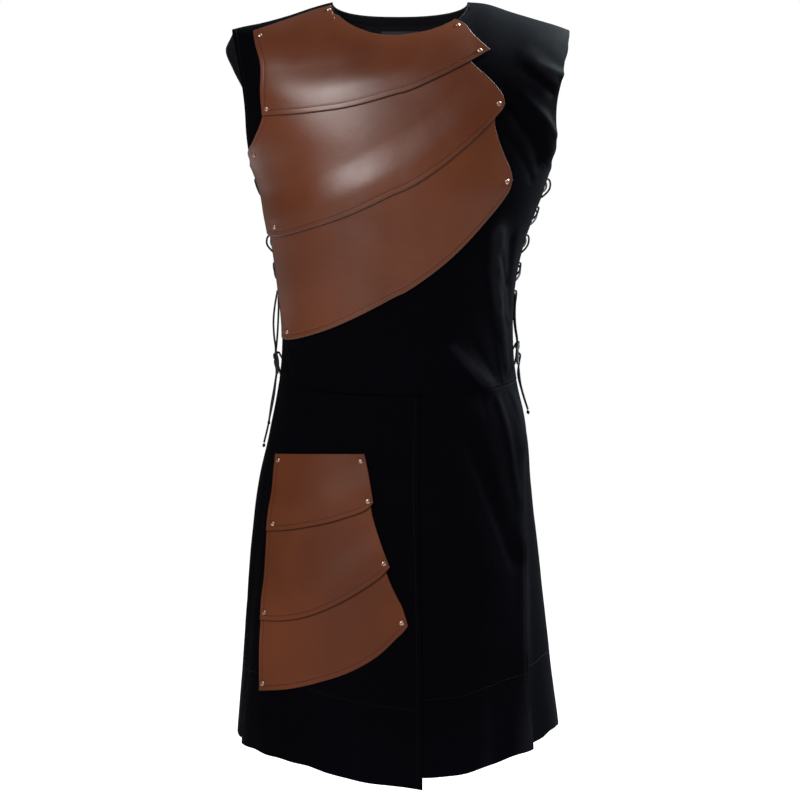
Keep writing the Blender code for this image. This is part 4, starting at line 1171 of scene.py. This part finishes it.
def bodice_grid(face, drop):
    """Angles, heights and shares across of a bodice panel, with a line at each neck point."""
    neck = np.linspace(-1, 1, NECK_LINES) * NECK_SHARE
    close = NEAR_EDGE / BODICE_HALF
    sides = np.linspace(NECK_SHARE, 1, SIDE_LINES)[1:]
    sides = np.concatenate([sides[sides < 1 - close[-1] * SPREAD_FROM], 1 - close[::-1], [1]])
    s = np.concatenate([-sides[::-1], neck, sides])
    tip = np.where(s > 0, ARMHOLES["front_left"][-1], ARMHOLES["front_right"][-1])
    past = np.clip((np.abs(s) - NECK_SHARE) / (1 - NECK_SHARE), 0, 1)
    across = neck_across(np.clip(s / NECK_SHARE, -1, 1)) + np.sign(s) * (tip - NECK_HALF) * past
    top = top_height(across, drop)
    top_angle = np.abs(angle_at(across, top)) * np.sign(s)
    lacing = angle_by_side(LACE_GAP_HALF, WAIST_SIDE, face)
    low = waist_height(s * lacing + (pi if face == "back" else 0))
    near = NEAR_EDGE / BODICE_TALL
    body = np.linspace(0, 1 - ROLL_SHARE, BODY_LINES)
    roll = 1 - ROLL_SHARE * (1 - np.cos(np.linspace(pi / 2, 0, ROLL_LINES)[1:]))
    body = body[body > near[-1] * SPREAD_FROM]
    rise = np.concatenate([[0], near, body, roll])[:, None]
    height = low + (top - low) * rise
    edge = np.where(s > 0, edge_angle(1, height, face), edge_angle(-1, height, face))
    blend = ease(0.25, 1, rise)
    around = (1 - blend) * edge * s + blend * (top_angle + s * (edge - edge[-1]))
    return around, height, s


def lace_holes(face):
    """Angle and height of every lace hole of a bodice panel, at the middle of the cloth."""
    spots = []
    for side, pair in product(SIDES, range(EYELET_PAIRS)):
        height = EYELET_TOP - pair * EYELET_STEP
        hole = angle_by_side(EYELET_FROM_SIDE, height, face)
        spots.append((side.sign * (hole if face == "front" else pi - hole), height, -CLOTH / 2))
    return np.array(spots)


def cut_holes(panel, spots):
    """Cuts round holes right through a panel and keeps the result as its mesh."""
    points, quads = turned(PUNCH_PROFILE, HOLE_RADIUS, CLOTH, spots, True, sides=24)
    mesh = bpy.data.meshes.new("lace_holes")
    mesh.from_pydata(points.tolist(), [], quads.tolist())
    cutter = placed("lace_holes", mesh)
    cut = panel.modifiers.new("lace_holes", "BOOLEAN")
    cut.operation = "DIFFERENCE"
    cut.solver = "EXACT"
    cut.object = cutter
    seen = panel.evaluated_get(bpy.context.evaluated_depsgraph_get())
    panel.data = bpy.data.meshes.new_from_object(seen)
    panel.modifiers.clear()
    bpy.data.objects.remove(cutter)


def hole_rims(name, spots, thread):
    """Worked rims about lace holes: a flat ring over each cut edge, ribbed by its stitches.

    radius out = hole + width * cos(p), up = (half the cloth + a little) * sin(p), and both
    swell with cos(ribs * turn).
    """
    around, height = spots.T[:2]
    normal = outward(around, height, True)
    place = ring(around, height, True) - CLOTH / 2 * normal
    swell = 1 + RIM_SWELL * np.cos(RIM_RIBS * turns(RIM_SIDES))
    section = turns(10)[:, 0]
    out = HOLE_RADIUS + 0.35 * RIM_WIDTH + RIM_WIDTH * np.cos(section) * swell
    up = (CLOTH / 2 + RIM_PROUD) * np.sin(section) * swell
    points = place[:, None, None] + out[..., None] * spokes_about(normal, RIM_SIDES)[:, :, None]
    points = points + up[..., None] * normal[:, None, None]
    size = RIM_SIDES * len(section)
    one = grid_quads(RIM_SIDES + 1, len(section), wrap=True) % size
    quads = copies(one, size, len(spots))[:, ::-1]
    return piece(name, points.reshape(-1, 3), quads, thread, "black_cloth")


def make_bodice(cloth, thread):
    """Front and back bodice panels with their sewn edges and worked lace holes."""
    for face, drop in (("front", NECK_DROP_FRONT), ("back", NECK_DROP_BACK)):
        around, height, s = bodice_grid(face, drop)
        around = around if face == "front" else pi - around
        panel = shell(f"bodice_{face}_cloth", around, height, -CLOTH, 0, (cloth, "black_cloth"),
                      at_waist=True, turned=TURNED_STEP, groove=True)
        spots = lace_holes(face)
        cut_holes(panel, spots)
        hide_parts(f"bodice_{face}")
        at_neck = np.abs(s) <= NECK_SHARE + 1e-6
        sunk = -SUNK_SHARE * GROOVE_DEPTH
        rows = seam(around[:, at_neck], height[:, at_neck], sunk, "last_row")
        rows += seam(around, height, sunk, "first_column", "last_column", skip=0.006)
        sewn = piece(f"bodice_{face}_stitches", *joined(rows), thread, "black_cloth")
        rims = hole_rims(f"bodice_{face}_lace_holes", spots, thread)


def skirt_panel(start, end, hem, columns, width):
    """Angles and heights of a skirt panel between two edges given as angles at each height.

    The hem sways a little, as two waves along it. The top edge follows the waist seam, whose
    height and angle settle together in a few rounds.
    """
    share = lines(columns, width, NEAR_EDGE)

    def across(height):
        return start(height) + (end(height) - start(height)) * share

    low = across(HEM_LEVEL)
    sway = sum(size * np.sin(times * low + start) for size, times, start in HEM_WAVES)
    foot = reading(HEMS, hem, low, "around") + sway
    top = WAIST_SIDE + 0 * share
    for _ in range(SETTLING_ROUNDS):
        top = waist_height(across(top)) + SEAM_LAP
    down = lines(SKIRT_LINES, SKIRT_TALL, NEAR_EDGE)
    deep = 1 - HEM_FROM_EDGE / SKIRT_TALL + NEAR_HEM
    down = np.unique(np.concatenate([down, deep]))[:, None]
    height = top + (foot - top) * down
    return across(height), height


def edge_turn(name):
    """The angle of one of the skirt panels' edges at each height."""
    return lambda height: reading(SKIRT_EDGES, name, height)


def make_skirt(cloth, thread):
    """The wrapped front panels and the back panel, each with a deep stitched hem."""
    panels = (
        ("over", edge_turn("over_side"),
         lambda height: angle_at(reading(SKIRT_EDGES, "over_front", height), height),
         90, 0.23, over_lift, (0.27, 0.53), 0.122),
        ("under", lambda height: angle_at(HIDDEN_EDGE + 0 * height, height),
         edge_turn("under_side"), 100, 0.25, lambda around, height: 0 * around * height,
         (0.29, 0.51), 0.121),
        ("back", edge_turn("back_left"), edge_turn("back_right"), 210, 0.62, back_tuck,
         (0.78, 0.50), 0.325),
    )
    for part, start, end, columns, width, lift_of, size, area in panels:
        around, height = skirt_panel(start, end, part, columns, width)
        lift = lift_of(around, height)
        sewn_in = 1 - ease(0.0, SEAM_ALLOWANCE, lengths_along(ring(around, height, True)))
        panel = shell(f"skirt_{part}_cloth", around, height, lift * (1 - sewn_in) - CLOTH, lift,
                      (cloth, "black_cloth"), at_waist=True, turned=TURNED_STEP, hem=True)
        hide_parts(f"skirt_{part}")
        rows = seam(around, height, lift - SUNK_SHARE * HEM_DEPTH, "last_row",
                    distance=HEM_FROM_EDGE)
        rows += seam(around, height, lift, "first_column", "last_column")
        sewn = piece(f"skirt_{part}_stitches", *joined(rows), thread, "black_cloth")


def make_label(satin, thread):
    """A plain ribbon label sewn inside the back neck."""
    across = (2 * lines(30, 2 * LABEL_HALF, NEAR_LABEL_EDGE) - 1) * LABEL_HALF
    height = LABEL_TOP - LABEL_TALL * (1 - lines(14, LABEL_TALL, NEAR_LABEL_EDGE))[:, None]
    across, height = np.broadcast_arrays(across, height)
    around = pi - angle_at(across, height)
    outside = -CLOTH - TURNED_STEP - LABEL_GAP
    ribbon = shell("neck_label_ribbon", around, height, outside - LABEL_THICK, outside,
                   (satin, "label_satin"))
    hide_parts("neck_label")
    rows = seam(around, height, outside - LABEL_THICK, "first_column", "last_column",
                distance=0.0016, skip=0.002, pitch=0.0022, length=0.0016, radius=0.0002)
    piece("neck_label_stitches", *joined(rows), thread, "label_satin")


def side_spot(side, forward, height, lift):
    """A point by the side lacing: forward of the side line, at a height, off the cloth."""
    forward, height, lift = (np.asarray(values, float) for values in (forward, height, lift))
    share = np.abs(forward) / depth_at(forward, height)
    around = side * np.arccos(np.sign(forward) * share ** (SQUARENESS / 2))
    return ring(around, height) + lift[..., None] * outward(around, height)


def by_knot(side, angle, out):
    """A point beside the bow's knot, out from its centre at an angle: (forward, height, lift)."""
    turn = radians(angle)
    return out * np.cos(turn), side.knot_height + out * np.sin(turn), side.knot_lift


def strand_route(side, front_first):
    """One strand of the crossed lacing, as (forward, height, lift) in metres.

    It starts in the middle of the bar inside the top eyelets. At each eyelet it comes out of
    the cloth, crosses the gap on the outside and slips in under the opposite edge. The last
    stretch bulges off the cloth by bulge * sin(pi * share) on its way to the knot.
    """
    face = 1 if front_first else -1
    edge, hole, quarter = LACE_GAP_HALF, EYELET_FROM_SIDE, EYELET_STEP / 4
    out, back = LACE_RADIUS + LACE_CLEAR, -CLOTH - LACE_RADIUS - LACE_CLEAR
    cross = out - LACE_CROSSING if front_first else back + LACE_CROSSING
    route = [(face * LACE_MIDDLE, EYELET_TOP, back)]
    for pair in range(EYELET_PAIRS):
        height = EYELET_TOP - pair * EYELET_STEP
        if pair:
            route.append((face * edge, height + quarter, back))
        through = ((LACE_BEND, back), (LACE_CLEAR, back + LACE_DIP), (0.0, -CLOTH / 2),
                   (LACE_CLEAR, out - LACE_DIP))
        route += [(face * (hole - inward), height, lift) for inward, lift in through]
        if pair < EYELET_PAIRS - 1:
            slack = side.crossings[pair] if front_first else 0
            route.append((face * (hole - LACE_SETTLE), height - LACE_SAG, out + slack / 2))
            route.append((face * edge, height - quarter, out + slack))
            route.append((0.0, height - 2 * quarter, cross + SLACK_PAST_EDGE * slack))
            face = -face
    start = np.array((face * (hole - LACE_BEND), height - LACE_SAG, out))
    end = np.array(by_knot(side, STRAND_AT, KNOT_FAR)) * (face, 1, 1)
    bulge = np.array((0, 0, side.to_knot[0 if front_first else 1]))
    for share in (0, 0.25, 0.5, 0.75):
        route.append(start + (end - start) * share + bulge * np.sin(pi * share))
    return [*route, end, np.array(by_knot(side, STRAND_AT, KNOT_NEAR)) * (face, 1, 1)]


def smooth_route(points):
    """Points at even steps along a smooth curve through a given route."""
    knots = lengths_along(points)
    count = max(int(knots[-1] / PATH_STEP), len(points))
    return smooth(knots, points, np.linspace(0, knots[-1], count))


def free_lace(side, route, mirror, leaves_at, returns_at=None):
    """A bow loop or tail from the knot, turned to face the back where mirror is -1."""
    points = [by_knot(side, leaves_at, KNOT_NEAR), by_knot(side, leaves_at, KNOT_FAR)]
    for forward, height, lift in np.array(route) / 1000:
        points.append((forward, side.knot_height + height, lift))
    if returns_at is not None:
        points += [by_knot(side, returns_at, KNOT_FAR), by_knot(side, returns_at, KNOT_NEAR)]
    forward, height, lift = np.array(points).T
    return smooth_route(side_spot(side.sign, mirror * forward, height, lift))


def lace_piece(name, node, path, fibre):
    """One round lace along its path."""
    points, quads, uv = tube(path, LACE_RADIUS)
    lace = piece(name, points, quads, fibre, "lace_fibre", uv=uv)
    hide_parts(node)


def knot(name, node, centre, side, wrap, fibre):
    """A tight knot drawn as a lace along a trefoil: angle = 2 t,
    radius = size * (1 + cos(3 t) / 2), out = depth * sin(3 t)."""
    size, thickness, depth = wrap
    t = np.linspace(0, 2 * pi * 1.01, 150)
    radius = size * (1 + 0.5 * np.cos(3 * t))
    path = [side * depth * np.sin(3 * t), radius * np.cos(2 * t), radius * np.sin(2 * t)]
    points, quads, uv = tube(centre + np.stack(path, -1), thickness, tips=False)
    made = piece(name, points, quads, fibre, "lace_fibre", uv=uv)
    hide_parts(node)
    return made


def make_laces(fibre):
    """Both sides' crossed lacing, bows, hanging tails and knots."""
    for side in SIDES:
        for number, front_first in ((1, True), (2, False)):
            path = smooth_route(side_spot(side.sign, *np.array(strand_route(side, front_first)).T))
            name = f"lace_{side.name}_{number}"
            lace_piece(f"crossed_{name}", name, path, fibre)
        centre = side_spot(side.sign, LACE_MIDDLE / 2, side.knot_height, side.knot_lift)
        knot(f"bow_wrap_{side.name}", f"bow_knot_{side.name}", centre, side.sign, BOW_WRAP, fibre)
        for number, mirror, route in ((1, 1, SHORT_TAIL), (2, -1, side.back_tail)):
            place = f"{side.name}_{number}"
            path = free_lace(side, BOW_LOOP, mirror, LOOP_AT, LOOP_BACK_AT)
            lace_piece(f"bow_{place}", f"bow_loop_{place}", path, fibre)
            path = free_lace(side, route, mirror, TAIL_AT)
            end = knot(f"tail_knot_{place}", f"end_knot_{place}",
                       path[-1] - (0, 0, END_KNOT_DROP), side.sign, END_WRAP, fibre)
            lace_piece(f"tail_{place}", f"lace_tail_{place}", path, fibre)


def lamp(name, place, target, size, power, colour):
    """A flat lamp that faces a point."""
    data = bpy.data.lights.new(name, "AREA")
    data.shape = "RECTANGLE"
    data.size, data.size_y = size
    data.energy = power
    data.color = colour
    light = placed(name, data)
    light.location = place
    light.rotation_euler = (Vector(target) - Vector(place)).to_track_quat("-Z", "Y").to_euler()


def make_camera():
    """A level camera at the photo's distance, aimed at the middle of the vest's height."""
    data = bpy.data.cameras.new("camera")
    data.sensor_width = SENSOR
    data.lens = SENSOR / (FRAME_WIDTH / CAMERA_DISTANCE)
    data.clip_end = 50.0
    camera = placed("camera", data)
    camera.location = (0.0, -CAMERA_DISTANCE, CAMERA_HEIGHT)
    camera.rotation_euler = (pi / 2, 0.0, 0.0)
    bpy.context.scene.camera = camera


def make_studio():
    """Soft daylight from all round, one tall softbox in front and one over the left shoulder."""
    world = bpy.data.worlds.new("studio")
    bpy.context.scene.world = world
    daylight = Look(world)
    seen = daylight.add("LightPath", out="Is Camera Ray")
    strength = daylight.calc("MULTIPLY_ADD", seen, 1.0 - WORLD_LIGHT, WORLD_LIGHT)
    daylight.fill(world.node_tree.nodes["Background"],
                  {"Color": (*WHITE, 1.0), "Strength": strength})
    for settings in LAMPS:
        lamp(*settings)
    corners = np.array(((-1, -1, 0), (1, -1, 0), (1, 1, 0), (-1, 1, 0))) * FLOOR_HALF
    mesh = bpy.data.meshes.new("floor")
    mesh.from_pydata((corners + (0, 0, FLOOR)).tolist(), [], [(0, 1, 2, 3)])
    mesh.materials.append(pale_floor())
    placed("floor", mesh)
    bpy.context.scene.view_settings.view_transform = "Standard"


make_camera()
make_laces(braided_fibre())
black = woven_black()
black_thread = twisted_thread("black_thread", *BLACK_THREAD)
make_bodice(black, black_thread)
make_skirt(black, black_thread)
make_plates(brown_leather("waxed_chest_leather", 0.75, 0.30),
            brown_leather("dry_thigh_leather", 0.56, 0.10),
            twisted_thread("brown_thread", *BROWN_THREAD), rivet_copper())
make_label(label_satin(), black_thread)
make_studio()
